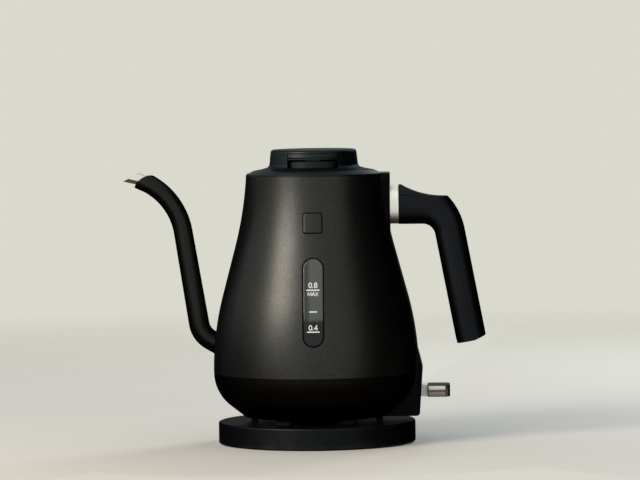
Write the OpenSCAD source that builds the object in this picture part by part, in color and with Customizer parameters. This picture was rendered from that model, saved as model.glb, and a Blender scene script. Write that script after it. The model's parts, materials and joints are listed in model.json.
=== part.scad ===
// Gooseneck electric kettle on a round power base.
// Frame: Z is up, the table is Z = 0, +X points to the handle, -X to the spout
// and -Y to the side with the water window. The origin is the centre of the
// whole kettle's footprint box, so the kettle's own axis stands at X = axis_x.
// Heights named "_h" count up from the kettle's underside.

/* [Power base] */
// Radius of the power base
base_r = 74; // [68:0.5:90]
// Height of the deck above the table
deck_z = 16.5; // [15:0.5:24]
// Thickness of the housing's skirt and deck
base_wall = 2.3; // [1.8:0.1:3]
// Radius of the housing's upper edge
base_edge = 1.2; // [0.4:0.1:2]
// Gap between the skirt and the table
skirt_gap = 1.2; // [0.8:0.1:1.8]
// Thickness of the bottom plate
plate_t = 2; // [1.6:0.1:3]
// Radius of one rubber foot of the base
foot_r = 6; // [4:0.5:8]
// Radius on which the base's feet stand
foot_ring = 58; // [50:0.5:60]
// Radius on which the base's screws stand
base_screw_ring = 60; // [52:0.5:61]
// Radius of the hole for the cord
cord_bore = 3.4; // [2.5:0.1:3.6]
// Length of the cord's grommet
grommet_l = 11; // [8:0.5:14]

/* [Connector between base and kettle] */
// Radius of the contact tower
tower_r = 8; // [6:0.5:10]
// Height of the contact tower above the deck
tower_h = 13.5; // [12:0.5:16]
// Radius of the turning shroud
shroud_r = 14.8; // [13:0.2:16]
// Height of the turning shroud
shroud_t = 4.8; // [3:0.2:6]
// Height of the socket's inside in the kettle
socket_h = 12; // [12:0.5:15]

/* [Body] */
// Radius of the body at its widest
belly_r = 77.1; // [74:0.1:82]
// Height of the widest place
belly_h = 33.5; // [30:0.5:36]
// Radius of the curve above the widest place
belly_arc = 222; // [200:1:240]
// Angle of the straight flank from upright
flank = 15; // [13.5:0.1:16]
// Radius that the neck of the body comes down to
neck_r = 50.4; // [49:0.1:53]
// Radius of the curve from the flank to the neck
neck_arc = 271; // [240:1:290]
// Height of the steel shell's top edge
shell_top_h = 181.2; // [178:0.1:186]
// Thickness of the steel shell
shell_t = 1; // [0.6:0.1:1.2]
// Air gap between the shell and the water vessel
air_gap = 3.7; // [3:0.1:4.5]
// Thickness of the water vessel
vessel_t = 0.8; // [0.5:0.1:1]
// Height of the vessel's floor
vessel_floor_h = 41.7; // [41:0.1:46]
// Radius of the vessel's bottom corner
vessel_corner = 8; // [5:0.5:12]
// Height of the seam between the shell and the lower bowl
seam_h = 32.4; // [32:0.1:36]
// Height of the seam's open groove
seam_gap = 0.7; // [0.4:0.1:1]

/* [Lower bowl] */
// Radius of the bowl's round flank
bowl_arc = 32; // [30:0.5:33]
// Sweep of that round flank before it runs straight
bowl_sweep = 52; // [48:0.5:58]
// Wall of the bowl
bowl_wall = 2.2; // [1.6:0.1:3]
// Height of the feet under the kettle
kettle_foot_h = 3.6; // [3:0.1:5]
// Radius on which the kettle's feet stand
kettle_foot_ring = 47; // [44:0.5:48]
// Number of feet under the kettle
kettle_feet_n = 6; // [3:1:6]
// Radius on which the screw posts stand
post_ring = 41; // [40:0.5:43]

/* [Heater] */
// Radius of the heat spreader plate
heater_r = 55; // [50:0.5:60]
// Thickness of the heat spreader plate
heater_t = 3; // [2:0.1:4]
// Radius of the heating element's ring
element_ring = 29; // [28:0.5:30]
// Radius of the heating element's tube
element_r = 3.2; // [2.5:0.1:3.6]
// Radius of the thermal control
control_r = 22; // [18:0.5:24]
// Place of the steam tube's axis behind the kettle's axis
steam_x = 39; // [38.5:0.5:39.5]
// Outer radius of the steam tube
steam_r = 4; // [3:0.1:4.4]
// Drop of the steam tube's upper end below the shell's top edge
steam_drop = 21.2; // [19:0.1:40]

/* [Water window and badge] */
// Width of the window's opening
window_w = 16.5; // [14:0.5:19]
// Height of the window's lower end
window_low_h = 56; // [54:0.5:60]
// Height of the window's upper end
window_top_h = 121.9; // [110:0.5:126]
// Width of the window's frame
window_rim = 1.6; // [1.2:0.1:2.2]
// Depth of the lens behind the shell's face
window_sink = 1; // [0.5:0.1:1.5]
// Width of the badge plate
badge_w = 15; // [10:0.5:18]
// Height of the badge plate
badge_tall = 15.7; // [10:0.1:18]
// Height of the badge's middle
badge_h = 147; // [136:0.5:160]
// Thickness of the badge plate
badge_t = 0.4; // [0.3:0.1:0.8]

/* [Collar and lid] */
// Radius of the lid's seat in the collar
lid_r = 44.1; // [43.6:0.1:44.6]
// Height of the collar's upright edge
collar_edge = 0.9; // [0.5:0.1:1.6]
// Height of the collar above the shell's top edge
collar_rise = 3.1; // [2.6:0.1:3.6]
// Inner radius of the collar's neck
neck_bore = 41.6; // [41.2:0.1:41.8]
// Depth of the collar's neck below the shell's top edge
neck_depth = 15; // [12:0.5:17]
// Radius of the lid's grip
grip_r = 33.2; // [33:0.1:33.8]
// Height of the lid's top above its seat
lid_rise = 16; // [15.5:0.1:18]
// Half width of the finger recess in the lid's grip
recess_half = 19; // [17:0.5:19.5]
// Depth of the finger recess
recess_deep = 3.7; // [3.4:0.1:3.8]
// Height of the lid's plug below its seat
plug_deep = 15.4; // [15:0.1:16]
// Travel of each release lever
lever_travel = 3; // [2:0.1:3.2]

/* [Handle] */
// Reach of the handle's outer end from the kettle's axis
handle_reach = 127.6; // [122:0.5:134]
// How far the bracket's face stands out from the body at the handle's lower edge
bracket_out = 0.93; // [0.9:0.01:2]
// Width of the handle bracket
bracket_w = 26; // [25:0.5:30]
// Width of the steel ferrule along the handle
ferrule_l = 6.3; // [5:0.1:8]
// Drop of the handle's lower edge below the shell's top edge
handle_drop = 38.3; // [37:0.1:40]
// Height of the handle at its root
handle_tall = 30.4; // [29:0.1:32]
// Thickness of the grip
grip_t = 22.6; // [20:0.1:24]
// Width of the handle
handle_w = 24; // [22:0.5:26]
// Lean of the grip from upright
grip_lean = 10.6; // [9:0.1:13]
// Radius of the handle's inner bend
inner_bend = 9.5; // [8:0.1:12]
// Radius of the handle's outer bend
outer_bend = 49; // [44:0.5:52]
// Radius of the thumb rest's hollow
thumb_arc = 59.5; // [56:0.5:66]
// Wall of the handle's shells
handle_wall = 2.2; // [1.8:0.1:2.6]
// Height of the grip's lower end
grip_end_h = 55.6; // [50:0.1:66]
// Thickness of the grip's end cap
cap_t = 2.6; // [2:0.1:4]

/* [Spout] */
// Radius of the sleeve at the foot of the spout
sleeve_foot_r = 7.7; // [7:0.1:8.2]
// Radius of the sleeve at the spout's bend
sleeve_top_r = 7.1; // [6.5:0.1:7.6]
// Outer radius of the steel spout tube
tube_r = 4.35; // [3.8:0.05:4.8]
// Wall of the steel spout tube
tube_wall = 0.6; // [0.4:0.1:0.8]
// Depth of the lower bend's centre inside the belly's radius
foot_bend_in = 6.7; // [5:0.1:7.5]
// Height of the lower bend's centre
foot_bend_h = 72.7; // [71:0.1:76]
// Radius of the lower bend
foot_bend_r = 17.6; // [16:0.1:19]
// Upward tilt of the spout where it leaves the body
root_tilt = 30; // [27:1:34]
// Lean of the spout's straight run from upright
spout_lean = 9; // [7:0.1:11]
// Length of the straight run
spout_run = 69.9; // [64:0.1:76]
// Radius of the upper bend
top_bend_r = 51; // [46:0.5:54]
// Turn of the upper bend at the sleeve's end
sleeve_turn = 60; // [56:0.5:64]
// Turn of the upper bend at the lip
lip_turn = 83; // [80:0.5:86]

/* [Power lever] */
// Depth of the lever's pivot inside the switch housing's rear face
pivot_in = 10; // [9:0.5:11]
// Height of the lever's pivot
pivot_h = 19; // [18:0.5:20]
// Height of the lever's stem
stem_tall = 8.6; // [7:0.1:10]
// Length of the silver paddle
paddle_l = 16.9; // [14:0.1:20]
// Height of the silver paddle
paddle_tall = 9.2; // [9:0.1:12]
// Width of the silver paddle
paddle_w = 22; // [16:0.5:26]
// Turn of the lever from off to on
lever_turn = 12; // [8:1:14]
// How far the switch housing stands out from the belly
switch_out = 2.9; // [2:0.1:5]
// Width of the switch housing
switch_w = 40; // [36:0.5:44]
// Radius of the switch housing's upright edges
switch_corner = 7; // [4:0.5:9]

/* [Fits] */
// Clearance between parts that move past each other
move_gap = 0.3; // [0.25:0.05:0.4]
// Clearance between parts that are fixed to each other
fixed_gap = 0.1; // [0.05:0.01:0.15]
// Radial clearance of a shaft in its bearing
running_gap = 0.06; // [0.02:0.01:0.08]
// Radial clearance of a screw in its hole
screw_gap = 0.05; // [0.02:0.01:0.08]
// Radius of the small screws
screw_r = 1.4; // [1.2:0.05:1.6]

/* [Hidden] */
$fn = 120;

stand_z = deck_z + move_gap + kettle_foot_h;

// The body's flank: a curve up from the widest place, a straight cone and the neck's curve.
belly_end_h = belly_h + belly_arc * sin(flank);
belly_end_r = belly_r - belly_arc * (1 - cos(flank));
neck_start_r = neck_r + neck_arc * (1 - cos(flank));
neck_start_h = belly_end_h + (belly_end_r - neck_start_r) / tan(flank);
neck_end_h = neck_start_h + neck_arc * sin(flank);
function body_r(h) =
    h <= belly_h ? belly_r
    : h <= belly_end_h ? belly_r - belly_arc + sqrt(belly_arc ^ 2 - (h - belly_h) ^ 2)
    : h <= neck_start_h ? belly_end_r - (h - belly_end_h) * tan(flank)
    : neck_r + neck_arc - sqrt(neck_arc ^ 2 - (neck_end_h - h) ^ 2);
// Points along the body's flank, drawn in by inset, from height h0 to h1
function flank_line(inset, h0, h1, n = 20) =
    [for (i = [0 : n]) let (h = h0 + (h1 - h0) * i / n) [body_r(h) - inset, h]];
function arc_line(c, r, a0, a1, n = 10) =
    [for (i = [0 : n]) let (a = a0 + (a1 - a0) * i / n) c + r * [cos(a), sin(a)]];
function backwards(list) = [for (i = [len(list) - 1 : -1 : 0]) list[i]];

vessel_inset = shell_t + air_gap;
vessel_bore_inset = vessel_inset + vessel_t;
shell_top_r = body_r(shell_top_h);
bowl_arc_c = [belly_r - bowl_arc, belly_h];

// Spout: three runs in the plane Y = 0
foot_c = [foot_bend_in - belly_r, foot_bend_h];
run_start = foot_c - foot_bend_r * [cos(spout_lean), sin(spout_lean)];
run_end = run_start + spout_run * [-sin(spout_lean), cos(spout_lean)];
top_c = run_end - top_bend_r * [cos(spout_lean), sin(spout_lean)];
root_start = foot_c - foot_bend_r * [sin(root_tilt), cos(root_tilt)];
lip = top_c + (top_bend_r - tube_r) * [cos(lip_turn), sin(lip_turn)];

// The kettle's axis, so that the origin is the middle of the footprint box
axis_x = (-lip[0] - handle_reach) / 2;

// Handle: inner and outer edge lines in the plane Y = 0
handle_low_h = shell_top_h - handle_drop;
bracket_x = body_r(handle_low_h) + bracket_out;
root_x = bracket_x + ferrule_l;
lean_dir = [cos(grip_lean), sin(grip_lean)];
down_dir = [sin(grip_lean), -cos(grip_lean)];
grip_run = (handle_low_h - inner_bend + inner_bend * lean_dir[1] - grip_end_h) / cos(grip_lean);
inner_c = [handle_reach - (inner_bend + grip_t) * lean_dir[0] - grip_run * down_dir[0], handle_low_h - inner_bend];
inner_turn_end = inner_c + inner_bend * lean_dir;
outer_c = inner_turn_end + (grip_t - outer_bend) * lean_dir;
thumb_out = 31.7;
thumb_up = 92.9;
thumb_flat = 2;
thumb_c = outer_c + [thumb_out, thumb_up];

// Lid heights
seat_h = shell_top_h + collar_rise - 0.9;
lid_top_h = seat_h + lid_rise + 0.9;
plug_low_h = seat_h - plug_deep;

module on_base() translate([axis_x, 0, 0]) children();
module on_kettle() translate([axis_x, 0, stand_z]) children();
module turned(line) rotate_extrude($fn = 120) polygon(line);
module tube(r, bore, h0, h1) translate([0, 0, h0]) difference() {
    cylinder(r = r, h = h1 - h0);
    translate([0, 0, -1]) cylinder(r = bore, h = h1 - h0 + 2);
}
module block(x0, x1, y, z0, z1) translate([x0, -y, z0]) cube([x1 - x0, 2 * y, z1 - z0]);
module ring_of(n, r, first = 0) for (i = [0 : n - 1]) rotate(first + 360 * i / n) translate([r, 0, 0]) children();
// Everything inside the body's flank, drawn in by inset
module body_core(inset, h0 = 0, h1 = shell_top_h)
    turned(concat([[0, h0]], flank_line(inset, h0, h1), [[0, h1]]));
// A slot with round ends, upright, in front of the kettle
module front_slot(w, h0, h1) rotate([90, 0, 0]) linear_extrude(belly_r + 5) union() {
    translate([0, h0 + w / 2]) circle(d = w);
    translate([0, h1 - w / 2]) circle(d = w);
    translate([-w / 2, h0 + w / 2]) square([w, h1 - h0 - w]);
}
module rounded_box(w, d, r) union() {
    square([w - 2 * r, d], center = true);
    square([w, d - 2 * r], center = true);
    for (x = [-1, 1], y = [-1, 1]) translate([x * (w / 2 - r), y * (d / 2 - r)]) circle(r = r, $fn = 48);
}

/* ---- Power base ---- */
plate_r = base_r - base_wall - move_gap;
boss_top = deck_z - base_wall;
cord_z = (skirt_gap + plate_t + boss_top) / 2 + 0.2;
flange_drop = 5;
flange_t = 2;
core_bore = 2.2;
boss_r = 3.6;
contact_t = 2.4;
contact_z = [deck_z + tower_h - 8.4, deck_z + tower_h - 4];
clamp_y = base_r - 26;

module base_housing() color("#22262b") on_base() difference() {
    union() {
        turned(concat(
            [[tower_r + 0.5, deck_z]],
            arc_line([base_r - base_edge, deck_z - base_edge], base_edge, 90, 0, 6),
            [[base_r, skirt_gap], [base_r - base_wall, skirt_gap], [base_r - base_wall, boss_top],
             [tower_r + 0.5, boss_top]]));
        ring_of(4, base_screw_ring, 45) translate([0, 0, skirt_gap + plate_t])
            cylinder(r = boss_r, h = deck_z - 1 - skirt_gap - plate_t);
        ring_of(3, tower_r * 1.5, 30) translate([0, 0, boss_top - flange_drop]) cylinder(r = tower_r / 5, h = flange_drop + 1);
    }
    ring_of(4, base_screw_ring, 45) cylinder(r = screw_r + screw_gap, h = boss_top - 1);
    translate([0, 0, cord_z]) rotate([-90, 0, 0]) cylinder(r = cord_bore + 1.2 + fixed_gap, h = base_r + 1);
}

module base_bottom_plate() color("#1c1f23") on_base() difference() {
    translate([0, 0, skirt_gap]) cylinder(r = plate_r, h = plate_t);
    ring_of(4, base_screw_ring, 45) {
        cylinder(r = screw_r + screw_gap, h = 10);
        cylinder(r = screw_r * 2 + fixed_gap, h = skirt_gap + 1);
    }
    ring_of(4, foot_ring, 0) cylinder(r = foot_r + fixed_gap, h = skirt_gap + 0.8);
}

module base_feet() color("#2d2d2d") on_base()
    ring_of(4, foot_ring, 0) cylinder(r = foot_r, h = skirt_gap + 0.8);

module base_screws() color("#8f9296") on_base() ring_of(4, base_screw_ring, 45) {
    translate([0, 0, skirt_gap + 0.1]) cylinder(r = screw_r * 2, h = 0.9);
    translate([0, 0, skirt_gap + 0.5]) cylinder(r = screw_r, h = boss_top - skirt_gap - 2);
}

module base_connector() color("#17191c") on_base() difference() {
    union() {
        translate([0, 0, boss_top - flange_drop - flange_t]) cylinder(r = tower_r * 2, h = flange_t);
        translate([0, 0, boss_top - flange_drop]) cylinder(r = tower_r, h = deck_z + tower_h - boss_top + flange_drop);
    }
    for (z = contact_z) tube(tower_r + 1, tower_r - 0.8, z, z + contact_t);
    translate([0, 0, boss_top - flange_drop - flange_t - 1]) cylinder(r = core_bore, h = 40);
}

module base_contacts() color("#c9a14a") on_base() {
    for (z = contact_z) tube(tower_r - 0.1, tower_r - 0.75, z + 0.05, z + contact_t - 0.05);
    tube(core_bore - 0.05, core_bore - 0.5, boss_top - flange_drop - flange_t, deck_z + tower_h - 0.5);
}

module cord_grommet() color("#202020") on_base() translate([0, base_r, cord_z]) rotate([90, 0, 0]) difference() {
    union() {
        translate([0, 0, -1.6]) cylinder(r = cord_bore + 1.8, h = 1.5);
        translate([0, 0, -1.6]) cylinder(r = cord_bore + 1.2, h = grommet_l);
        translate([0, 0, base_wall + 0.6]) cylinder(r = cord_bore + 1.8, h = 1.5);
    }
    translate([0, 0, -3]) cylinder(r = cord_bore, h = grommet_l + 4);
}

module cord_clamp() color("#26292d") on_base() translate([0, clamp_y, skirt_gap + plate_t]) difference() {
    block(-11, 11, 3.5, 0, 8.6);
    translate([0, 0, cord_z - skirt_gap - plate_t]) rotate([90, 0, 0]) cylinder(r = cord_bore, h = 20, center = true);
    for (x = [-8, 8]) translate([x, 0, 1.5]) cylinder(r = screw_r + screw_gap, h = 20);
}

module cord_clamp_screws() color("#8f9296") on_base() for (x = [-8, 8])
    translate([x, clamp_y, skirt_gap + plate_t]) {
        translate([0, 0, 2]) cylinder(r = screw_r, h = 6.8);
        translate([0, 0, 8.65]) cylinder(r = screw_r * 1.7, h = 1.2);
    }

module connector_shroud() color("#2b2e33") on_base()
    tube(shroud_r, tower_r + running_gap, deck_z + move_gap, deck_z + move_gap + shroud_t);

/* ---- Lower bowl and what it holds ---- */
element_drop = 9;
socket_r = shroud_r + move_gap;
bowl_flat_r = bowl_arc_c[0] + bowl_arc * cos(bowl_sweep)
    - (bowl_arc_c[1] - bowl_arc * sin(bowl_sweep)) * tan(bowl_sweep);
post_top = vessel_floor_h - vessel_t - heater_t;
lever_slot_w = 13;

// The bowl's flank as a line of points, drawn in by inset, from its floor up
function bowl_line(inset, floor_h) = concat(
    [[bowl_flat_r - inset / tan(45 + bowl_sweep / 2) + (floor_h - inset) * tan(bowl_sweep), floor_h]],
    arc_line(bowl_arc_c, bowl_arc - inset, -bowl_sweep, 0, 12));

module lower_bowl() color("#141414") on_kettle() difference() {
    union() {
        turned(concat(
            [[socket_r + 4.5, 0]], [for (p = bowl_line(0, 0)) if (p[1] < seam_h - seam_gap) p],
            [[belly_r, seam_h - seam_gap],
             [belly_r - shell_t - fixed_gap, seam_h - seam_gap],
             [belly_r - shell_t - fixed_gap, seam_h + 4],
             [belly_r - bowl_wall - 0.8, seam_h + 4]],
            backwards(bowl_line(bowl_wall, bowl_wall)),
            [[socket_r + 4.5, bowl_wall]]));
        ring_of(3, post_ring, 60) translate([0, 0, 0.5]) cylinder(r = 3.8, h = post_top - 0.5);
    }
    ring_of(3, post_ring, 60) {
        translate([0, 0, -1]) cylinder(r = screw_r + screw_gap, h = post_top + 2);
        translate([0, 0, -1]) cylinder(r = screw_r * 2 + fixed_gap, h = 3);
    }
    block(belly_r - 40, belly_r + 10, lever_slot_w, pivot_h - 9, pivot_h + 9);
}

module kettle_feet() color("#303235") on_kettle() for (i = [0 : kettle_feet_n - 1])
    rotate(360 * i / kettle_feet_n) translate([kettle_foot_ring, 0, -kettle_foot_h])
        linear_extrude(kettle_foot_h) rounded_box(5, 12.5, 2.4);

module bottom_screws() color("#8f9296") on_kettle() ring_of(3, post_ring, 60) {
    translate([0, 0, 0.7]) cylinder(r = screw_r * 2, h = 1.3);
    translate([0, 0, 1.5]) cylinder(r = screw_r, h = post_top - 0.6);
}

module kettle_connector() color("#1b1d20") on_kettle() difference() {
    union() {
        cylinder(r = socket_r + 4.4, h = socket_h + 1.6);
        translate([0, 0, bowl_wall]) cylinder(r = socket_r + 8, h = 2);
    }
    translate([0, 0, -1]) cylinder(r = socket_r, h = socket_h + 1);
}

module connector_terminals() color("#c9a14a") on_kettle() {
    tube(tower_r + move_gap + 0.8, tower_r + move_gap, shroud_t - kettle_foot_h + 1.2, socket_h);
    translate([0, 0, socket_h - 5]) cylinder(r = 1.2, h = 5);
}

module thermal_control() color("#c8c2b0") on_kettle() {
    translate([0, 0, socket_h + 1.6]) cylinder(r = control_r, h = post_top - element_r * 2 - 1.2 - socket_h - 1.6);
    translate([0, 0, post_top - element_r * 2 - 1.2]) cylinder(r = control_r / 2, h = element_r * 2 + 1.2);
}

module heater_plate() color("#9fa3a6") on_kettle() difference() {
    translate([0, 0, post_top]) cylinder(r = heater_r, h = heater_t);
    translate([steam_x, 0, 0]) cylinder(r = steam_r + move_gap, h = 100);
    ring_of(3, post_ring, 60) cylinder(r = screw_r + screw_gap, h = post_top + 2);
}

module heating_element() color("#6f5a4a") on_kettle() translate([0, 0, post_top - element_r]) {
    rotate_extrude($fn = 96) translate([element_ring, 0]) circle(r = element_r, $fn = 32);
    for (a = [-20, 20]) rotate(a) translate([element_ring, 0, -element_drop]) cylinder(r = element_r / 2, h = element_drop);
}

/* ---- Vessel and shell ---- */
tongue_w = 11;

module vessel_skin(inset, floor_h, corner, top_h) turned(concat(
    [[0, floor_h]],
    arc_line([body_r(floor_h + corner) - inset - corner, floor_h + corner], corner, -90, 0, 8),
    flank_line(inset, floor_h + corner + 1, top_h), [[0, top_h]]));

// A straight rod along the spout's root, from the body's inside outwards
module along_root(r, back, length) translate([root_start[0], 0, root_start[1]])
    rotate([0, 90 + root_tilt, 0]) translate([0, 0, -length]) cylinder(r = r, h = length + back);

module inner_vessel() color("#b9bcbe") on_kettle() difference() {
    union() {
        vessel_skin(vessel_inset, vessel_floor_h - vessel_t, vessel_corner + vessel_t, shell_top_h - vessel_t / 2);
        translate([0, 0, shell_top_h - vessel_t]) cylinder(r = shell_top_r - shell_t - fixed_gap, h = vessel_t);
    }
    vessel_skin(vessel_bore_inset, vessel_floor_h, vessel_corner, shell_top_h + 1);
    along_root(tube_r + fixed_gap, 20, 10);
    front_slot(window_w - 2 * window_rim + 2 * fixed_gap, window_low_h + window_rim - fixed_gap,
        window_top_h - window_rim + fixed_gap);
    translate([steam_x, 0, 0]) cylinder(r = steam_r + move_gap, h = vessel_floor_h + 1);
}

module body_shell() color("#26241f") on_kettle() difference() {
    turned(concat(flank_line(0, seam_h, shell_top_h, 26), backwards(flank_line(shell_t, seam_h, shell_top_h, 26))));
    along_root(tube_r + fixed_gap, 20, 10);
    front_slot(window_w, window_low_h, window_top_h);
    for (h = bracket_screws_h) translate([0, 0, h]) rotate([0, 90, 0]) cylinder(r = screw_r + screw_gap, h = 100);
}

module collar_ring() color("#20242a") on_kettle() difference() {
    union() {
        turned([[neck_bore, shell_top_h - neck_depth], [neck_bore, seat_h - move_gap],
            [lid_r + 0.35, seat_h - move_gap], [lid_r + 0.35, shell_top_h + collar_rise],
            [shell_top_r, shell_top_h + collar_edge], [shell_top_r, shell_top_h],
            [neck_bore + 2, shell_top_h], [neck_bore + 2, shell_top_h - neck_depth]]);
        intersection() {
            block(40, bracket_x, bracket_w / 2, shell_top_h + fixed_gap, shell_top_h + collar_edge - fixed_gap);
            difference() {
                cylinder(r = 200, h = 300);
                cylinder(r = shell_top_r - 1, h = 300);
            }
        }
    }
    for (s = [-1, 1]) translate([0, s * (neck_bore + 0.3), shell_top_h - neck_depth - 1])
        translate([-tongue_w / 2 - move_gap, -2, 0]) cube([tongue_w + 2 * move_gap, 3.1, neck_depth + 20]);
}

/* ---- Spout ---- */
// run and the upper bend. The turn is the angle of the ring's plane in the plane Y = 0.
root_a = 90 - root_tilt;
// The spout's path as stations [middle, turn, radius]: a straight root, a bend, a tapered
root_in = [cos(root_tilt), -sin(root_tilt)];
// The ring that ends the sleeve on its round nose
nose_r = 13.6;
nose_c = top_c + (top_bend_r - 5) * [cos(sleeve_turn - 6), sin(sleeve_turn - 6)];
nose_v = nose_c - top_c;
// The ring that ends the steel tube in its slanting mouth
mouth_slant = 29;
mouth_n = [-sin(mouth_slant), cos(mouth_slant)];
sleeve_n = 36;
sleeve_bore_r = tube_r + fixed_gap;
tube_n = 28;
tube_turn = 74;
tube_end_inset = -vessel_bore_inset - 0.6;

function along(a0, a1, n) = [for (i = [0 : n]) a0 + (a1 - a0) * i / n];
function foot_stations(r) =
    [for (a = along(root_a, spout_lean, 7)) [foot_c - foot_bend_r * [cos(a), sin(a)], a, r]];
function bend_stations(r, turn) =
    [for (a = along(spout_lean, turn, 10)) [top_c + top_bend_r * [cos(a), sin(a)], a, r]];
function spout_stations(foot, top, turn) = concat(foot_stations(foot), bend_stations(top, turn));
function spout_ring(st, n) = [for (k = [0 : n - 1]) let (b = 360 * k / n,
    q = st[0] + st[2] * cos(b) * [cos(st[1]), sin(st[1])]) [q[0], st[2] * sin(b), q[1]]];

// The ring of a root that ends on the body, gap clear of it: each point slides back along the root
function slide_to_body(q, y, gap, tries = 4) = tries == 0 ? q
    : slide_to_body(q + root_in * (-sqrt((body_r(q[1]) + gap) ^ 2 - y ^ 2) - q[0]) / root_in[0], y, gap, tries - 1);
function body_ring(r, gap, n) = [for (k = [0 : n - 1]) let (b = 360 * k / n, y = r * sin(b),
    q = slide_to_body(root_start + r * cos(b) * [cos(root_a), sin(root_a)], y, gap)) [q[0], y, q[1]]];
function nose_ring(r, n) = [for (k = [0 : n - 1]) let (b = 360 * k / n, rho = top_bend_r + r * cos(b),
    a = atan2(nose_v[1], nose_v[0])
        + acos((rho ^ 2 + nose_v * nose_v - nose_r ^ 2) / (2 * rho * norm(nose_v))),
    q = top_c + rho * [cos(a), sin(a)]) [q[0], r * sin(b), q[1]]];
function mouth_ring(r, n) = [for (k = [0 : n - 1]) let (b = 360 * k / n, rho = top_bend_r + r * cos(b),
    a = 90 + mouth_slant - acos(mouth_n * (lip - top_c) / rho),
    q = top_c + rho * [cos(a), sin(a)]) [q[0], r * sin(b), q[1]]];

// A closed pipe: rings along its outside and back along its inside
module pipe(rings) {
    n = len(rings[0]);
    m = len(rings);
    polyhedron(
        points = [for (ring = rings) each ring],
        faces = [for (j = [0 : m - 1], i = [0 : n - 1], half = [0, 1])
            let (k = (i + 1) % n, g = (j + 1) % m)
                half == 0 ? [j * n + i, g * n + i, j * n + k] : [j * n + k, g * n + i, g * n + k]]);
}

module spout_sleeve() color("#1e1f1d") on_kettle() pipe(concat(
    [body_ring(sleeve_foot_r, fixed_gap, sleeve_n)],
    [for (st = spout_stations(sleeve_foot_r, sleeve_top_r, sleeve_turn)) spout_ring(st, sleeve_n)],
    [nose_ring(sleeve_top_r, sleeve_n), nose_ring(sleeve_bore_r, sleeve_n)],
    backwards([for (st = spout_stations(sleeve_bore_r, sleeve_bore_r, sleeve_turn)) spout_ring(st, sleeve_n)]),
    [body_ring(sleeve_bore_r, fixed_gap, sleeve_n)]));

module spout_tube() color("#c4c6c8") on_kettle() pipe(concat(
    [body_ring(tube_r, tube_end_inset, tube_n)],
    [for (st = spout_stations(tube_r, tube_r, tube_turn)) spout_ring(st, tube_n)],
    [mouth_ring(tube_r, tube_n), mouth_ring(tube_r - tube_wall, tube_n)],
    backwards([for (st = spout_stations(tube_r - tube_wall, tube_r - tube_wall, tube_turn))
        spout_ring(st, tube_n)]),
    [body_ring(tube_r - tube_wall, tube_end_inset, tube_n)]));

module spout_gasket() color("#3a3a3a") on_kettle() difference() {
    intersection() {
        along_root(tube_r + 4, 20, 10);
        body_core(shell_t + fixed_gap);
    }
    body_core(vessel_inset - fixed_gap);
    along_root(tube_r + fixed_gap, 25, 12);
}

/* ---- Window and badge ---- */
module window_ring(outer, inner, near, far) difference() {
    intersection() {
        front_slot(window_w - 2 * outer, window_low_h + outer, window_top_h - outer);
        body_core(near);
    }
    body_core(far);
    if (inner > 0) front_slot(window_w - 2 * inner, window_low_h + inner, window_top_h - inner);
}

module window_frame() color("#141517") on_kettle()
    window_ring(fixed_gap, window_rim, 0.4, shell_t + air_gap * 0.6);
module window_gasket() color("#3a3a3a") on_kettle()
    window_ring(fixed_gap, window_rim, shell_t + air_gap * 0.6, vessel_inset - fixed_gap);
module window_lens() color("#5f6468") on_kettle()
    window_ring(window_rim + fixed_gap, 0, window_sink, vessel_bore_inset);

module badge() color("#2a2a2a") on_kettle() difference() {
    intersection() {
        translate([0, 0, badge_h]) rotate([90, 0, 0]) linear_extrude(belly_r) rounded_box(badge_w, badge_tall, 2);
        body_core(-badge_t);
    }
    body_core(-0.02);
}

/* ---- Switch at the back ---- */
housing_top_h = 52.7;
switch_half = 12;
disc_r = 9;
disc_t = 0.5;
disc_in = 3;
disc_h = pivot_h - 2;
switch_top_h = 30;
switch_x = belly_r + switch_out;
pivot_x = switch_x - pivot_in;
switch_face_x = pivot_x - 20;
steam_top_h = shell_top_h - steam_drop;
stem_x = switch_x - 2;
stem_low_h = pivot_h - 5.4;
// Drop of the paddle's underside below the stem's
paddle_drop = 0.3;
// Lowest reach of the stem's underside at the housing's face, with the lever pressed down
slot_low_h = pivot_h - (switch_x - pivot_x) * sin(lever_turn) - (pivot_h - stem_low_h) * cos(lever_turn) - move_gap;

module switch_outline(inset) polygon(concat(
    [[switch_x - 50, inset], [switch_x - 4.6, inset]],
    arc_line([switch_x - 4.8, 2.4], 2.4 - inset, -80, -5, 5),
    [[switch_x - 1 - inset, 22], [switch_x - inset, 35.2], [belly_r - 1.4 - inset, housing_top_h],
     [switch_x - 50, housing_top_h - inset]]));

module switch_housing() color("#131313") on_kettle() difference() {
    intersection() {
        rotate([90, 0, 0]) linear_extrude(switch_w, center = true) switch_outline(0);
        translate([switch_x - 30, 0, -1]) linear_extrude(housing_top_h + 2) rounded_box(60, switch_w, switch_corner);
        rotate([90, 0, 90]) linear_extrude(100) union() {
            translate([0, housing_top_h - switch_w / 2]) circle(d = switch_w);
            translate([-switch_w / 2, -1]) square([switch_w, housing_top_h - switch_w / 2 + 1]);
        }
    }
    body_core(-fixed_gap, belly_h, housing_top_h + 20);
    turned(concat([[0, -1], [bowl_flat_r + fixed_gap, -1]], bowl_line(-fixed_gap, 0),
        [[belly_r + fixed_gap, belly_h + 1], [0, belly_h + 1]]));
    rotate([90, 0, 0]) linear_extrude(2 * lever_slot_w, center = true) intersection() {
        switch_outline(2);
        translate([60, pivot_h - 9]) square([30, 18]);
    }
    block(pivot_x, switch_x + 10, paddle_w / 2 - 3 + move_gap, slot_low_h, stem_low_h + stem_tall + move_gap);
}

module switch_body() color("#cfc8b4") on_kettle() difference() {
    block(steam_x - steam_r - 3, switch_face_x, switch_half, bowl_wall, switch_top_h);
    translate([switch_face_x - disc_in, 0, disc_h]) rotate([0, 90, 0]) cylinder(r = disc_r + 2 * move_gap, h = disc_in + 1);
}

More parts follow.
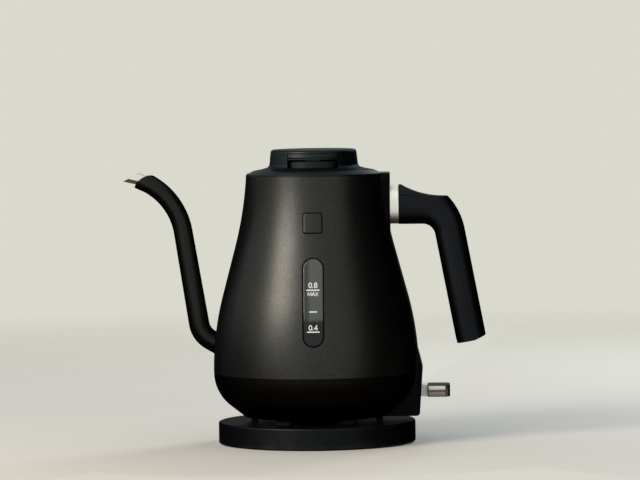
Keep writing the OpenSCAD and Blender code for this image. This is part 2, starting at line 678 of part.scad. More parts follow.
module bimetal_disc() color("#b98a4a") on_kettle()
    translate([switch_face_x - disc_in + 0.05, 0, disc_h]) rotate([0, 90, 0]) cylinder(r = disc_r, h = disc_t);

module steam_tube() color("#d8d4c8") on_kettle() translate([steam_x, 0, 0])
    tube(steam_r, steam_r - 1, switch_top_h, steam_top_h);

module steam_gasket() color("#b4472f") on_kettle() translate([steam_x, 0, vessel_floor_h]) {
    tube(steam_r + 2.2, steam_r + fixed_gap, 0, 2);
    tube(steam_r + move_gap - 0.05, steam_r + fixed_gap, -vessel_t - 1, 0);
}

module lever_pin() color("#9a9da0") on_kettle() translate([pivot_x, 0, pivot_h]) rotate([90, 0, 0])
    cylinder(r = 1.5, h = 2 * lever_slot_w, center = true);

module lever_stem() color("#e8e6e0") on_kettle() difference() {
    union() {
        block(pivot_x, stem_x + 5.4, paddle_w / 2 - 3, stem_low_h, stem_low_h + stem_tall);
        translate([pivot_x, 0, pivot_h]) rotate([90, 0, 0]) cylinder(r = 3.4, h = paddle_w - 6, center = true);
        block(switch_face_x + 2.6, pivot_x, 4, pivot_h - 1.5, pivot_h + 1.5);
    }
    translate([pivot_x, 0, pivot_h]) rotate([90, 0, 0]) cylinder(r = 1.5 + running_gap, h = 60, center = true);
}

module lever_paddle() color("#8a8d92") on_kettle() translate([stem_x + 5.4, 0, stem_low_h - paddle_drop])
    intersection() {
        cube_x(paddle_l, paddle_w, paddle_tall);
        translate([paddle_l - 4, 0, 0]) linear_extrude(50) union() {
            translate([-50, -paddle_w / 2]) square([50, paddle_w]);
            intersection() {
                translate([-6, 0]) circle(r = 12.6);
                translate([0, -paddle_w / 2]) square([30, paddle_w]);
            }
        }
    }
module cube_x(l, w, h) rotate([90, 0, 0]) linear_extrude(w, center = true) union() {
    square([l - 2, h]);
    square([l, h - 2]);
    translate([l - 2, h - 2]) circle(r = 2, $fn = 48);
}

/* ---- Handle ---- */
bracket_low_h = handle_low_h - 5.2;
bracket_screws_h = [handle_low_h + 7.5, handle_low_h + 22];
// Section of the handle: a rounded outline, w wide and t tall, with its middle at the origin
bulge = 2 / 2.5;
ferrule_mid_h = handle_low_h + handle_tall / 2;
// Stations along the handle: [inner edge point, outer edge point] in the plane Y = 0
arm_n = 8;
turn_n = 12;
arm_end_a = acos((inner_c[0] - outer_c[0]) / outer_bend);
stations = concat(
    [for (i = [0 : arm_n - 1]) let (x = root_x + (inner_c[0] - root_x) * i / arm_n)
        [[x, handle_low_h], outer_on_arc(x)]],
    [for (i = [0 : turn_n]) let (s = i / turn_n, a = 90 + (grip_lean - 90) * s,
        b = arm_end_a + (grip_lean - arm_end_a) * s)
        [inner_c + inner_bend * [cos(a), sin(a)], outer_c + outer_bend * [cos(b), sin(b)]]],
    [for (s = [0.5, 1]) [inner_turn_end + grip_run * s * down_dir,
        inner_turn_end + grip_t * lean_dir + grip_run * s * down_dir]]);
// One ring of a handle shell: the outline's angles a0 to a1 outside, and back again inside
shell_n = 16;
seam_a = 8;
seam_half = 0.8;
end_mid = (stations[len(stations) - 1][0] + stations[len(stations) - 1][1]) / 2;
strap_w = 12;
strap_t = 4;
strap_h = handle_low_h + 11.5;
strap_foot_t = 2.6;
strap_corner = [inner_c[0] + 15, strap_h + strap_t];
strap_end = strap_corner + (grip_run + 4) * down_dir;
strap_bend = strap_corner - strap_t * lean_dir + strap_t * (1 - lean_dir[1]) / lean_dir[0] * down_dir;

module handle_bracket() color("#1d1e1f") on_kettle() difference() {
    translate([0, 0, bracket_low_h]) linear_extrude(shell_top_h - bracket_low_h) difference() {
        translate([bracket_x - 15, 0]) rounded_box(30, bracket_w, 3);
        translate([-bracket_x, -30]) square([bracket_x + 30, 60]);
    }
    body_core(-fixed_gap, belly_h, shell_top_h + 1);
    for (h = bracket_screws_h) translate([0, 0, h]) rotate([0, 90, 0]) cylinder(r = screw_r + screw_gap, h = 100);
}

function handle_point(w, t, a) =
    [w / 2 * sign(cos(a)) * abs(cos(a)) ^ bulge, t / 2 * sign(sin(a)) * abs(sin(a)) ^ bulge];
function handle_section(w, t, n = 48) = [for (i = [0 : n - 1]) handle_point(w, t, 360 * i / n)];

module ferrule() color("#d5d5d2") on_kettle() translate([bracket_x, 0, ferrule_mid_h])
    rotate([90, 0, 90]) linear_extrude(ferrule_l) difference() {
        polygon(handle_section(handle_w - 0.4, handle_tall - 0.6));
        polygon(handle_section(handle_w - 2.8, handle_tall - 3));
    }

function outer_on_arc(x) = [x, outer_c[1] + sqrt(outer_bend ^ 2 - (x - outer_c[0]) ^ 2)];

// A point pushed down to the thumb rest's hollow, with depth of wall under it. The hollow starts
// behind a short flat at the handle's root.
function thumbed(p, depth) = let (out = max(p[0], root_x + thumb_flat) - thumb_c[0], r = thumb_arc + depth)
    abs(out) < r ? [p[0], min(p[1], thumb_c[1] - sqrt(r ^ 2 - out ^ 2))] : p;
function shell_ring(st, a0, a1) = let (
        mid = (st[0] + st[1]) / 2,
        up = (st[1] - st[0]) / norm(st[1] - st[0]),
        t = norm(st[1] - st[0]),
        side = function (p, depth) let (q = thumbed(mid + p[1] * up, depth)) [q[0], p[0], q[1]])
    concat(
        [for (i = [0 : shell_n]) side(handle_point(handle_w, t, a0 + (a1 - a0) * i / shell_n), 0)],
        [for (i = [shell_n : -1 : 0])
            side(handle_point(handle_w - 2 * handle_wall, t - 2 * handle_wall, a0 + (a1 - a0) * i / shell_n),
                handle_wall)]);
// A closed solid through rings of equally many points
module loft(rings) {
    n = len(rings[0]);
    m = len(rings);
    polyhedron(
        points = [for (ring = rings) each ring],
        faces = concat(
            [[for (i = [0 : n - 1]) i]],
            [[for (i = [n - 1 : -1 : 0]) (m - 1) * n + i]],
            [for (j = [0 : m - 2], i = [0 : n - 1]) let (k = (i + 1) % n) [j * n + i, (j + 1) * n + i, j * n + k]],
            [for (j = [0 : m - 2], i = [0 : n - 1]) let (k = (i + 1) % n)
                [j * n + k, (j + 1) * n + i, (j + 1) * n + k]]));
}

module grip_shell() color("#16191d") on_kettle()
    loft([for (st = stations) shell_ring(st, 180 - seam_a + seam_half, 360 + seam_a - seam_half)]);

module back_cover() color("#1b1f25") on_kettle()
    loft([for (st = stations) shell_ring(st, seam_a + seam_half, 180 - seam_a - seam_half)]);

module handle_end_cap() color("#14171a") on_kettle() translate([end_mid[0], 0, end_mid[1]])
    rotate([0, -grip_lean, 0]) rotate([180, 0, 0]) difference() {
        linear_extrude(cap_t) rotate(90) polygon(handle_section(handle_w - 0.4, grip_t - 0.4));
        translate([grip_t / 2 - 9, -20, cap_t]) rotate([0, 14, 0]) cube([30, 40, 10]);
    }

module handle_strap() color("#a7a9ab") on_kettle() difference() {
    rotate([90, 0, 0]) linear_extrude(strap_w, center = true) polygon([
        [bracket_x, handle_low_h + 5], [bracket_x + strap_foot_t, handle_low_h + 5],
        [bracket_x + strap_foot_t, strap_h], strap_bend,
        strap_end - strap_t * lean_dir, strap_end, strap_corner,
        [bracket_x + strap_foot_t, strap_h + strap_t], [bracket_x + strap_foot_t, handle_low_h + 25.4],
        [bracket_x, handle_low_h + 25.4]]);
    for (h = bracket_screws_h) translate([0, 0, h]) rotate([0, 90, 0]) cylinder(r = screw_r + screw_gap, h = 200);
}

module handle_screws() color("#8f9296") on_kettle() for (h = bracket_screws_h) translate([0, 0, h])
    rotate([0, 90, 0]) {
        translate([0, 0, body_r(h) - shell_t - 0.5]) cylinder(r = screw_r, h = bracket_x + 3 - body_r(h) + shell_t);
        translate([0, 0, bracket_x + 2.7]) cylinder(r = screw_r * 1.8, h = 1.3);
    }

/* ---- Lid ---- */
core_r = grip_r - recess_deep;
cavity_r = core_r - 2.1;
plug_r = neck_bore - 1;
recess_low_h = seat_h + 3.3;
roof_h = lid_top_h - 2.5;
bar_tall = 4.8;
bar_low_h = roof_h - bar_tall;
// Height of the finger slot under each lever's bar
finger_slot = 1.6;
cap_low_h = seat_h;
lid_post_ring = 30.3;
gasket_h = cap_low_h - 4.4;
tongue_h = plug_low_h + 4.5;
arm_y = 24.5;
// A small coil spring along Y between the lid's rib and a release lever's arm
spring_r = 2.4;
spring_wire = 0.4;
spring_turns = 5;

module lid_cap() color("#23282e") on_kettle() difference() {
    turned(concat(
        [[0, lid_top_h], [grip_r * 0.5, lid_top_h - 0.1], [grip_r - 4.5, lid_top_h - 0.4]],
        arc_line([grip_r - 3.2, lid_top_h - 2.7], 2.3, 80, 5, 6),
        arc_line([grip_r + 3.4, seat_h + 6.2], 3.4, 180, 250, 6),
        [[lid_r, seat_h + 0.9], [lid_r, cap_low_h], [cavity_r, cap_low_h], [cavity_r, roof_h], [0, roof_h]]));
    for (s = [-1, 1]) {
        intersection() {
            translate([0, 0, recess_low_h]) difference() {
                cylinder(r = 60, h = roof_h - recess_low_h);
                translate([0, 0, -1]) cylinder(r = core_r, h = 40);
            }
            translate([-recess_half, s > 0 ? 5 : -65, 0]) cube([2 * recess_half, 60, 300]);
        }
        translate([-recess_half + 0.3, s > 0 ? 18 : -48, bar_low_h - finger_slot])
            cube([2 * recess_half - 0.6, 30, bar_tall + finger_slot + fixed_gap]);
    }
    block(-60, -20, 4, recess_low_h + 3.2, recess_low_h + 5.8);
    ring_of(4, lid_post_ring, 45) cylinder(r = screw_r - 0.2 + screw_gap, h = seat_h + 6);
}

module lid_base() color("#1a1d21") on_kettle() difference() {
    union() {
        turned([[0, plug_low_h], [plug_r - 1, plug_low_h], [plug_r, plug_low_h + 1],
            [plug_r, gasket_h], [plug_r - 1, gasket_h], [plug_r - 1, gasket_h + 2.6], [plug_r, gasket_h + 2.6],
            [plug_r, cap_low_h], [plug_r - 2, cap_low_h], [plug_r - 2, plug_low_h + 1.8], [0, plug_low_h + 1.8]]);
        ring_of(4, lid_post_ring, 45) translate([0, 0, plug_low_h]) cylinder(r = 3, h = cap_low_h - plug_low_h);
        block(-7, 7, 3, plug_low_h, plug_low_h + 14);
    }
    ring_of(4, lid_post_ring, 45) {
        translate([0, 0, plug_low_h - 1]) cylinder(r = screw_r - 0.2 + screw_gap, h = 40);
        translate([0, 0, plug_low_h - 1]) cylinder(r = 2.3, h = 2.2);
    }
    block(-tongue_w / 2 - move_gap, tongue_w / 2 + move_gap, 60, tongue_h - move_gap, tongue_h + 3 + move_gap);
    ring_of(3, 14, 0) translate([0, 0, plug_low_h - 1]) cylinder(r = 1.5, h = 5);
}

module lid_gasket() color("#8c8f92") on_kettle()
    tube(neck_bore - move_gap, plug_r - 1 + fixed_gap, gasket_h + fixed_gap, gasket_h + 2.6 - fixed_gap);

module lid_screws() color("#8f9296") on_kettle() ring_of(4, lid_post_ring, 45) {
    translate([0, 0, plug_low_h + 0.1]) cylinder(r = 2.2, h = 1);
    translate([0, 0, plug_low_h + 0.5]) cylinder(r = screw_r - 0.2, h = cap_low_h - plug_low_h + 5);
}

// The front release lever: the bar under the fingers, an arm down into the lid and a tongue
module release_lever() {
    intersection() {
        turned([[0, bar_low_h], [grip_r, bar_low_h], [grip_r, bar_low_h + 0.6],
            [grip_r + 0.25, bar_low_h + 1.8], [grip_r, roof_h - move_gap - 0.6], [grip_r - 0.4, roof_h - move_gap],
            [0, roof_h - move_gap]]);
        translate([-recess_half + 0.6, -60, 0]) cube([2 * recess_half - 1.2, 60 - arm_y, 300]);
    }
    translate([-5.5, -arm_y - 2, tongue_h]) cube([11, 2, bar_low_h + 1 - tongue_h]);
    translate([-tongue_w / 2, -neck_bore - 0.8, tongue_h]) cube([tongue_w, neck_bore + 0.8 - arm_y, 3]);
}
module lid_lever_front() color("#2b3036") on_kettle() release_lever();
module lid_lever_rear() color("#2b3036") on_kettle() mirror([0, 1, 0]) release_lever();

module release_spring() translate([0, -3.2, plug_low_h + 10]) {
    wire_n = 6;
    step_n = 12;
    span = arm_y - 3.4;
    loft([for (i = [0 : spring_turns * step_n]) let (a = 360 * i / step_n,
            y = -spring_wire - (span - 2 * spring_wire) * i / (spring_turns * step_n))
        [for (k = [0 : wire_n - 1]) let (b = 360 * k / wire_n, r = spring_r + spring_wire * cos(b))
            [r * cos(a), y + spring_wire * sin(b), r * sin(a)]]]);
}
module lid_spring_front() color("#9a9da0") on_kettle() release_spring();
module lid_spring_rear() color("#9a9da0") on_kettle() mirror([0, 1, 0]) release_spring();

base_housing();
base_bottom_plate();
base_feet();
base_screws();
base_connector();
base_contacts();
cord_grommet();
cord_clamp();
cord_clamp_screws();
connector_shroud();
lower_bowl();
kettle_feet();
bottom_screws();
kettle_connector();
connector_terminals();
thermal_control();
heater_plate();
heating_element();
inner_vessel();
body_shell();
collar_ring();
spout_sleeve();
spout_tube();
spout_gasket();
window_frame();
window_gasket();
window_lens();
badge();
switch_housing();
switch_body();
bimetal_disc();
steam_tube();
steam_gasket();
handle_bracket();
ferrule();
handle_strap();
handle_screws();
grip_shell();
back_cover();
handle_end_cap();
lever_pin();
lever_stem();
lever_paddle();
lid_cap();
lid_base();
lid_gasket();
lid_screws();
lid_spring_front();
lid_spring_rear();
lid_lever_front();
lid_lever_rear();
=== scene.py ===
"""Looks of the gooseneck kettle and its power base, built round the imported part."""
import json
import math

import bmesh
import bpy
from mathutils import Matrix, Vector
from mathutils.bvhtree import BVHTree


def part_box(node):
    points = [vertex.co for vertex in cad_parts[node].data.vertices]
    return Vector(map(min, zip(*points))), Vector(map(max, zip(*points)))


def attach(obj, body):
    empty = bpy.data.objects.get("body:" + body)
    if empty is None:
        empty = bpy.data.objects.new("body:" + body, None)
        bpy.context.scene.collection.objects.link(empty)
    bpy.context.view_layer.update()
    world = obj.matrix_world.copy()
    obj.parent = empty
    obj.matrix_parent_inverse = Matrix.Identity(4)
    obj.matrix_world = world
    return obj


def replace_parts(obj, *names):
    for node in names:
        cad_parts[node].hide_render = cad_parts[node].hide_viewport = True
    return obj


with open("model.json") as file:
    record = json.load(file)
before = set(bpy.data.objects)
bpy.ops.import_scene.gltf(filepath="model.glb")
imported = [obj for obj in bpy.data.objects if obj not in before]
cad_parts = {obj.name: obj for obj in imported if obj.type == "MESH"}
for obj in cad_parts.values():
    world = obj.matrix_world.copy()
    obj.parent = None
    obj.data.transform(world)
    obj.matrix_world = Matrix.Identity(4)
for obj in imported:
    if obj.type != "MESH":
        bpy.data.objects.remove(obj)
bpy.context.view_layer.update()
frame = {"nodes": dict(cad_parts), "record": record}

MM = 0.001


# ---------------------------------------------------------------- measures
def centre_of(node, axis):
    """Middle of a node's box along one axis."""
    low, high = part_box(node)
    return (low[axis] + high[axis]) / 2


AXIS_X = centre_of("kettle_connector", 0)
STAND_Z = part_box("lower_bowl")[0].z

# the kettle's flank: the belly's arc, a straight slope and the neck's arc, with _H above its underside
BELLY_R, BELLY_H, BELLY_ARC = 77.1 * MM, 33.5 * MM, 222 * MM
FLANK = math.radians(15)
NECK_R, NECK_ARC = 50.4 * MM, 271 * MM
BELLY_END_H = BELLY_H + BELLY_ARC * math.sin(FLANK)
BELLY_END_R = BELLY_R - BELLY_ARC * (1 - math.cos(FLANK))
NECK_START_R = NECK_R + NECK_ARC * (1 - math.cos(FLANK))
NECK_START_H = BELLY_END_H + (BELLY_END_R - NECK_START_R) / math.tan(FLANK)
NECK_END_H = NECK_START_H + NECK_ARC * math.sin(FLANK)


def body_radius(h):
    """Radius of the kettle's flank at height h above its underside."""
    if h <= BELLY_H:
        return BELLY_R
    if h <= BELLY_END_H:
        return BELLY_R - BELLY_ARC + math.sqrt(BELLY_ARC ** 2 - (h - BELLY_H) ** 2)
    if h <= NECK_START_H:
        return BELLY_END_R - (h - BELLY_END_H) * math.tan(FLANK)
    return NECK_R + NECK_ARC - math.sqrt(NECK_ARC ** 2 - (NECK_END_H - h) ** 2)


def polar(centre, radius, angle):
    """A flat point at that radius and angle from a centre."""
    return (centre[0] + radius * math.cos(angle), centre[1] + radius * math.sin(angle))


def moved(point, direction, distance):
    """A flat point, moved that far along a direction."""
    return (point[0] + distance * direction[0], point[1] + distance * direction[1])


def between(a, b, s):
    """The flat point the share s of the way from a to b."""
    return (a[0] + (b[0] - a[0]) * s, a[1] + (b[1] - a[1]) * s)


def steps(a, b, n):
    """The n + 1 values that part the way from a to b into n even steps."""
    return [a + (b - a) * i / n for i in range(n + 1)]


def on_kettle(x, y, h):
    """A point of the kettle's own frame, in the row frame."""
    return Vector((x + AXIS_X, y, h + STAND_Z))


# ---------------------------------------------------------------- node helpers
def feed(tree, socket, value):
    """Gives a node's input its value, or the link to the socket that the value comes from."""
    if isinstance(value, bpy.types.NodeSocket):
        tree.links.new(value, socket)
    else:
        socket.default_value = value


def add(tree, kind, inputs=None, **settings):
    """A node of that kind, with its settings and its inputs: each a value or a socket."""
    node = tree.nodes.new(kind)
    for name, value in settings.items():
        setattr(node, name, value)
    for name, value in (inputs or {}).items():
        feed(tree, node.inputs[name], value)
    return node


def group(name, inputs, outputs):
    """A new node group from {name: kind} sockets. Returns its tree, and its own inputs and outputs."""
    tree = bpy.data.node_groups.new(name, "ShaderNodeTree")
    for direction, sockets in (("INPUT", inputs), ("OUTPUT", outputs)):
        for socket_name, kind in sockets.items():
            tree.interface.new_socket(socket_name, in_out=direction, socket_type="NodeSocket" + kind)
    return tree, tree.nodes.new("NodeGroupInput").outputs, tree.nodes.new("NodeGroupOutput").inputs


def ramp(tree, value, low, high, to_low=0.0, to_high=1.0):
    """A value that climbs from to_low at low to to_high at high, and stays at its ends beyond them."""
    return add(tree, "ShaderNodeMapRange", {"Value": value, "From Min": low, "From Max": high,
                                            "To Min": to_low, "To Max": to_high}).outputs["Result"]


def maths(tree, kind, a, b):
    """The result of one sum of that kind."""
    return add(tree, "ShaderNodeMath", {0: a, 1: b}, operation=kind).outputs[0]


def swing(tree, wave, spread, middle=1.0):
    """A value that swings round its middle as a wave from 0 to 1 does round a half."""
    return maths(tree, "ADD", maths(tree, "MULTIPLY", maths(tree, "SUBTRACT", wave, 0.5), spread), middle)


def scaled(tree, colour, gain):
    """A colour made lighter or darker by a factor."""
    return add(tree, "ShaderNodeVectorMath", {0: colour, "Scale": gain}, operation="SCALE").outputs[0]


def mixed(tree, factor, a, b):
    """The colour a, turned into b as factor goes from 0 to 1."""
    return add(tree, "ShaderNodeMix", {0: factor, 6: a, 7: b}, data_type="RGBA").outputs[2]


def place(tree):
    """The point being shaded, in the object's own metres."""
    return add(tree, "ShaderNodeTexCoord").outputs["Object"]


def noise(tree, vector, scale, detail=3.0, rough=0.5):
    """Soft noise from 0 to 1, with about that many waves to a metre."""
    return add(tree, "ShaderNodeTexNoise", {"Vector": vector, "Scale": scale, "Detail": detail,
                                            "Roughness": rough}).outputs["Fac"]


# ---------------------------------------------------------------- shared effects
def make_tone_drift():
    """Slow uneven tone, as in any moulded or sprayed surface."""
    tree, given, out = group("tone_drift", {"Colour": "Color", "Scale": "Float", "Spread": "Float"},
                             {"Colour": "Color"})
    gain = swing(tree, noise(tree, place(tree), given["Scale"], 4.0), given["Spread"])
    feed(tree, out["Colour"], scaled(tree, given["Colour"], gain))
    return tree


def make_edge_wear():
    """Rubbed tone along outer edges, broken up by noise."""
    inputs = {"Colour": "Color", "Worn": "Color", "Amount": "Float", "Scale": "Float"}
    tree, given, out = group("edge_wear", inputs, {"Colour": "Color"})
    edge = ramp(tree, add(tree, "ShaderNodeNewGeometry").outputs["Pointiness"], 0.515, 0.60)
    patch = ramp(tree, noise(tree, place(tree), given["Scale"], 5.0, 0.65), 0.38, 0.66)
    mask = maths(tree, "MULTIPLY", maths(tree, "MULTIPLY", edge, patch), given["Amount"])
    feed(tree, out["Colour"], mixed(tree, mask, given["Colour"], given["Worn"]))
    return tree


def make_settled_dust():
    """A thin film of dust on what faces up."""
    tree, given, out = group("settled_dust", {"Colour": "Color", "Dust": "Color", "Amount": "Float"},
                             {"Colour": "Color"})
    normal = add(tree, "ShaderNodeNewGeometry").outputs["Normal"]
    facing = ramp(tree, add(tree, "ShaderNodeSeparateXYZ", {0: normal}).outputs["Z"], 0.55, 1.0)
    patch = ramp(tree, noise(tree, place(tree), 90.0, 6.0, 0.7), 0.35, 0.75)
    mask = maths(tree, "MULTIPLY", maths(tree, "MULTIPLY", facing, patch), given["Amount"])
    feed(tree, out["Colour"], mixed(tree, mask, given["Colour"], given["Dust"]))
    return tree


def make_rough_drift():
    """Roughness that wanders round a middle value: handling marks and smears."""
    tree, given, out = group("rough_drift", {"Middle": "Float", "Spread": "Float", "Scale": "Float"},
                             {"Roughness": "Float"})
    wave = noise(tree, place(tree), given["Scale"], 5.0, 0.6)
    feed(tree, out["Roughness"], swing(tree, wave, given["Spread"], given["Middle"]))
    return tree


def make_moulded_grain():
    """The fine leathery grain of spark-eroded moulds."""
    tree, given, out = group("moulded_grain", {"Scale": "Float"}, {"Height": "Float"})
    cells = add(tree, "ShaderNodeTexVoronoi", {"Vector": place(tree), "Scale": given["Scale"]},
                feature="SMOOTH_F1").outputs["Distance"]
    fine = noise(tree, place(tree), maths(tree, "MULTIPLY", given["Scale"], 1.7), 2.0)
    height = maths(tree, "ADD", maths(tree, "MULTIPLY", cells, 0.6), maths(tree, "MULTIPLY", fine, 0.5))
    feed(tree, out["Height"], height)
    return tree


def make_paint_fleck():
    """Metal flakes in satin paint: small cells, each a little lighter or darker."""
    tree, given, out = group("paint_fleck", {"Colour": "Color", "Scale": "Float", "Spread": "Float"},
                             {"Colour": "Color", "Height": "Float"})
    cells = add(tree, "ShaderNodeTexVoronoi", {"Vector": place(tree), "Scale": given["Scale"]})
    grey = add(tree, "ShaderNodeSeparateColor", {0: cells.outputs["Color"]}).outputs[0]
    feed(tree, out["Colour"], scaled(tree, given["Colour"], swing(tree, grey, given["Spread"])))
    feed(tree, out["Height"], noise(tree, place(tree), given["Scale"], 2.0))
    return tree


def make_brushed_lines():
    """Fine lines left by a brush or a lathe: long along the small components of Stretch."""
    tree, given, out = group("brushed_lines", {"Colour": "Color", "Stretch": "Vector", "Spread": "Float"},
                             {"Colour": "Color", "Height": "Float"})
    stretched = add(tree, "ShaderNodeVectorMath", {0: place(tree), 1: given["Stretch"]}, operation="MULTIPLY")
    line = noise(tree, stretched.outputs[0], 1.0, 5.0, 0.7)
    feed(tree, out["Colour"], scaled(tree, given["Colour"], swing(tree, line, given["Spread"])))
    feed(tree, out["Height"], line)
    return tree


TONE = make_tone_drift()
WEAR = make_edge_wear()
DUST = make_settled_dust()
ROUGH = make_rough_drift()
GRAIN = make_moulded_grain()
FLECK = make_paint_fleck()
LINES = make_brushed_lines()


def use(tree, effect, **inputs):
    """The outputs of a shared effect, placed in a material with its own values."""
    return add(tree, "ShaderNodeGroup", inputs, node_tree=effect).outputs


# ---------------------------------------------------------------- materials
def srgb(r, g, b):
    """A colour as seen on a screen, 0 to 255, as the shader's own linear colour."""
    return tuple((c / 255 / 12.92 if c / 255 <= 0.04045 else ((c / 255 + 0.055) / 1.055) ** 2.4)
                 for c in (r, g, b)) + (1.0,)


def new_material(name, **plain):
    """A material, its tree and its shader; plain are the shader's uniform values, with _ for each space."""
    material = bpy.data.materials.new(name)
    material.use_nodes = True
    tree = material.node_tree
    shader = next(n for n in tree.nodes if n.type == "BSDF_PRINCIPLED")
    for socket, value in plain.items():
        shader.inputs[socket.replace("_", " ")].default_value = value
    return material, tree, shader


def link(tree, shader, **sockets):
    """Links values to the shader's inputs, named with _ for each space."""
    for name, value in sockets.items():
        tree.links.new(value, shader.inputs[name.replace("_", " ")])


def bump(tree, shader, height, depth, strength=1.0):
    """Raises the shader's surface by a height from 0 to 1, as deep as given in metres."""
    node = add(tree, "ShaderNodeBump", {"Height": height, "Distance": depth, "Strength": strength})
    link(tree, shader, Normal=node.outputs["Normal"])


DUST_COLOUR = srgb(150, 146, 138)
DARK_RIM = (0.12, 0.12, 0.13, 1)


# the scales of a moulding's tone, wear and roughness, and how far that roughness spreads
MATT_SCALES, SATIN_SCALES = (38.0, 160.0, 55.0, 0.22), (22.0, 120.0, 40.0, 0.08)


def moulding(name, colour, rough, worn, scales, grain, depth, wear, dust, spread, **plain):
    """A moulded surface: uneven tone, rubbed edges, settled dust and a fine grain."""
    tone_scale, wear_scale, rough_scale, rough_spread = scales
    material, tree, shader = new_material(name, **plain)
    tone = use(tree, TONE, Colour=colour, Scale=tone_scale, Spread=spread)["Colour"]
    rubbed = use(tree, WEAR, Colour=tone, Worn=worn, Amount=wear, Scale=wear_scale)["Colour"]
    dusty = use(tree, DUST, Colour=rubbed, Dust=DUST_COLOUR, Amount=dust)["Colour"]
    wander = use(tree, ROUGH, Middle=rough, Spread=rough_spread, Scale=rough_scale)["Roughness"]
    link(tree, shader, Base_Color=dusty, Roughness=wander)
    bump(tree, shader, use(tree, GRAIN, Scale=grain)["Height"], depth)
    return material


def plastic(name, colour, rough, worn, grain=2600.0, wear=0.2, dust=0.02, specular=0.2, spread=0.1):
    """Moulded plastic or rubber."""
    return moulding(name, colour, rough, worn, MATT_SCALES, grain, 0.03 * MM, wear, dust, spread,
                    Specular_IOR_Level=specular)


def satin(name, colour, rough, worn, tint, grain=2600.0, depth=0.02 * MM, dust=0.02, spread=0.1):
    """Dark satin moulding: a deep tone seen mostly by its sheen, which tint holds down at the rims."""
    return moulding(name, colour, rough, worn, SATIN_SCALES, grain, depth, 0.15, dust, spread,
                    Metallic=1.0, Specular_Tint=tint)


def metal(name, colour, rough, worn, stretch, spread=0.25, depth=0.01 * MM, tint=(1, 1, 1, 1)):
    """Bare metal: brushed or turned lines, uneven tone and brighter rubbed edges."""
    material, tree, shader = new_material(name, Metallic=1.0, Specular_Tint=tint)
    lined = use(tree, LINES, Colour=colour, Stretch=stretch, Spread=spread)
    tone = use(tree, TONE, Colour=lined["Colour"], Scale=60.0, Spread=0.12)["Colour"]
    rubbed = use(tree, WEAR, Colour=tone, Worn=worn, Amount=0.2, Scale=200.0)["Colour"]
    wander = use(tree, ROUGH, Middle=rough, Spread=0.12, Scale=120.0)["Roughness"]
    link(tree, shader, Base_Color=rubbed, Roughness=wander)
    bump(tree, shader, lined["Height"], depth)
    return material


def satin_paint(name):
    """Satin metallic black: dark flakes under a pebbled face, with rubbed edges and a little dust."""
    material, tree, shader = new_material(name, Metallic=1.0, Specular_Tint=DARK_RIM)
    tone = use(tree, TONE, Colour=(0.0445, 0.0470, 0.0470, 1.0), Scale=14.0, Spread=0.12)["Colour"]
    flake = use(tree, FLECK, Colour=tone, Scale=2400.0, Spread=0.5)
    worn = (0.11, 0.105, 0.10, 1.0)
    rubbed = use(tree, WEAR, Colour=flake["Colour"], Worn=worn, Amount=0.25, Scale=90.0)["Colour"]
    dusty = use(tree, DUST, Colour=rubbed, Dust=DUST_COLOUR, Amount=0.03)["Colour"]
    wander = use(tree, ROUGH, Middle=0.37, Spread=0.06, Scale=26.0)["Roughness"]
    link(tree, shader, Base_Color=dusty, Roughness=wander)
    bump(tree, shader, flake["Height"], 0.02 * MM)
    return material


# LIT_SIDE_X: where the window's painted shadow on its left gives way to its lighter, lit side
WATER_FOOT_Z, WATER_FOOT_BLUR, LIT_SIDE_X = 96.4 * MM, 1.2 * MM, (AXIS_X - 5.0 * MM, AXIS_X - 1.5 * MM)


def smoked_lens(name):
    """The water window: smoke-grey plastic with painted light, darker on its left side as a painted shadow of
    the rim and lighter on its lit side, and darker below the water's foot.
    """
    material, tree, shader = new_material(name, Specular_IOR_Level=0.25)
    spot = place(tree)
    apart = add(tree, "ShaderNodeSeparateXYZ", {0: spot}).outputs
    level = swing(tree, noise(tree, spot, 160.0, 3.0), 4 * MM, apart["Z"])
    upper = ramp(tree, level, WATER_FOOT_Z - WATER_FOOT_BLUR, WATER_FOOT_Z + WATER_FOOT_BLUR)
    # painted light: the left of the lens gets a painted shadow of the rim, and the rest its lit tone
    painted_lit_share = ramp(tree, apart["X"], *LIT_SIDE_X)
    shaded = mixed(tree, painted_lit_share, srgb(48, 54, 55), srgb(76, 82, 81))
    colour = mixed(tree, upper, srgb(28, 30, 33), shaded)
    tone = use(tree, TONE, Colour=colour, Scale=70.0, Spread=0.2)["Colour"]
    wander = use(tree, ROUGH, Middle=0.1, Spread=0.06, Scale=140.0)["Roughness"]
    link(tree, shader, Base_Color=tone, Roughness=wander)
    bump(tree, shader, use(tree, GRAIN, Scale=700.0)["Height"], 0.01 * MM, 0.4)
    return material


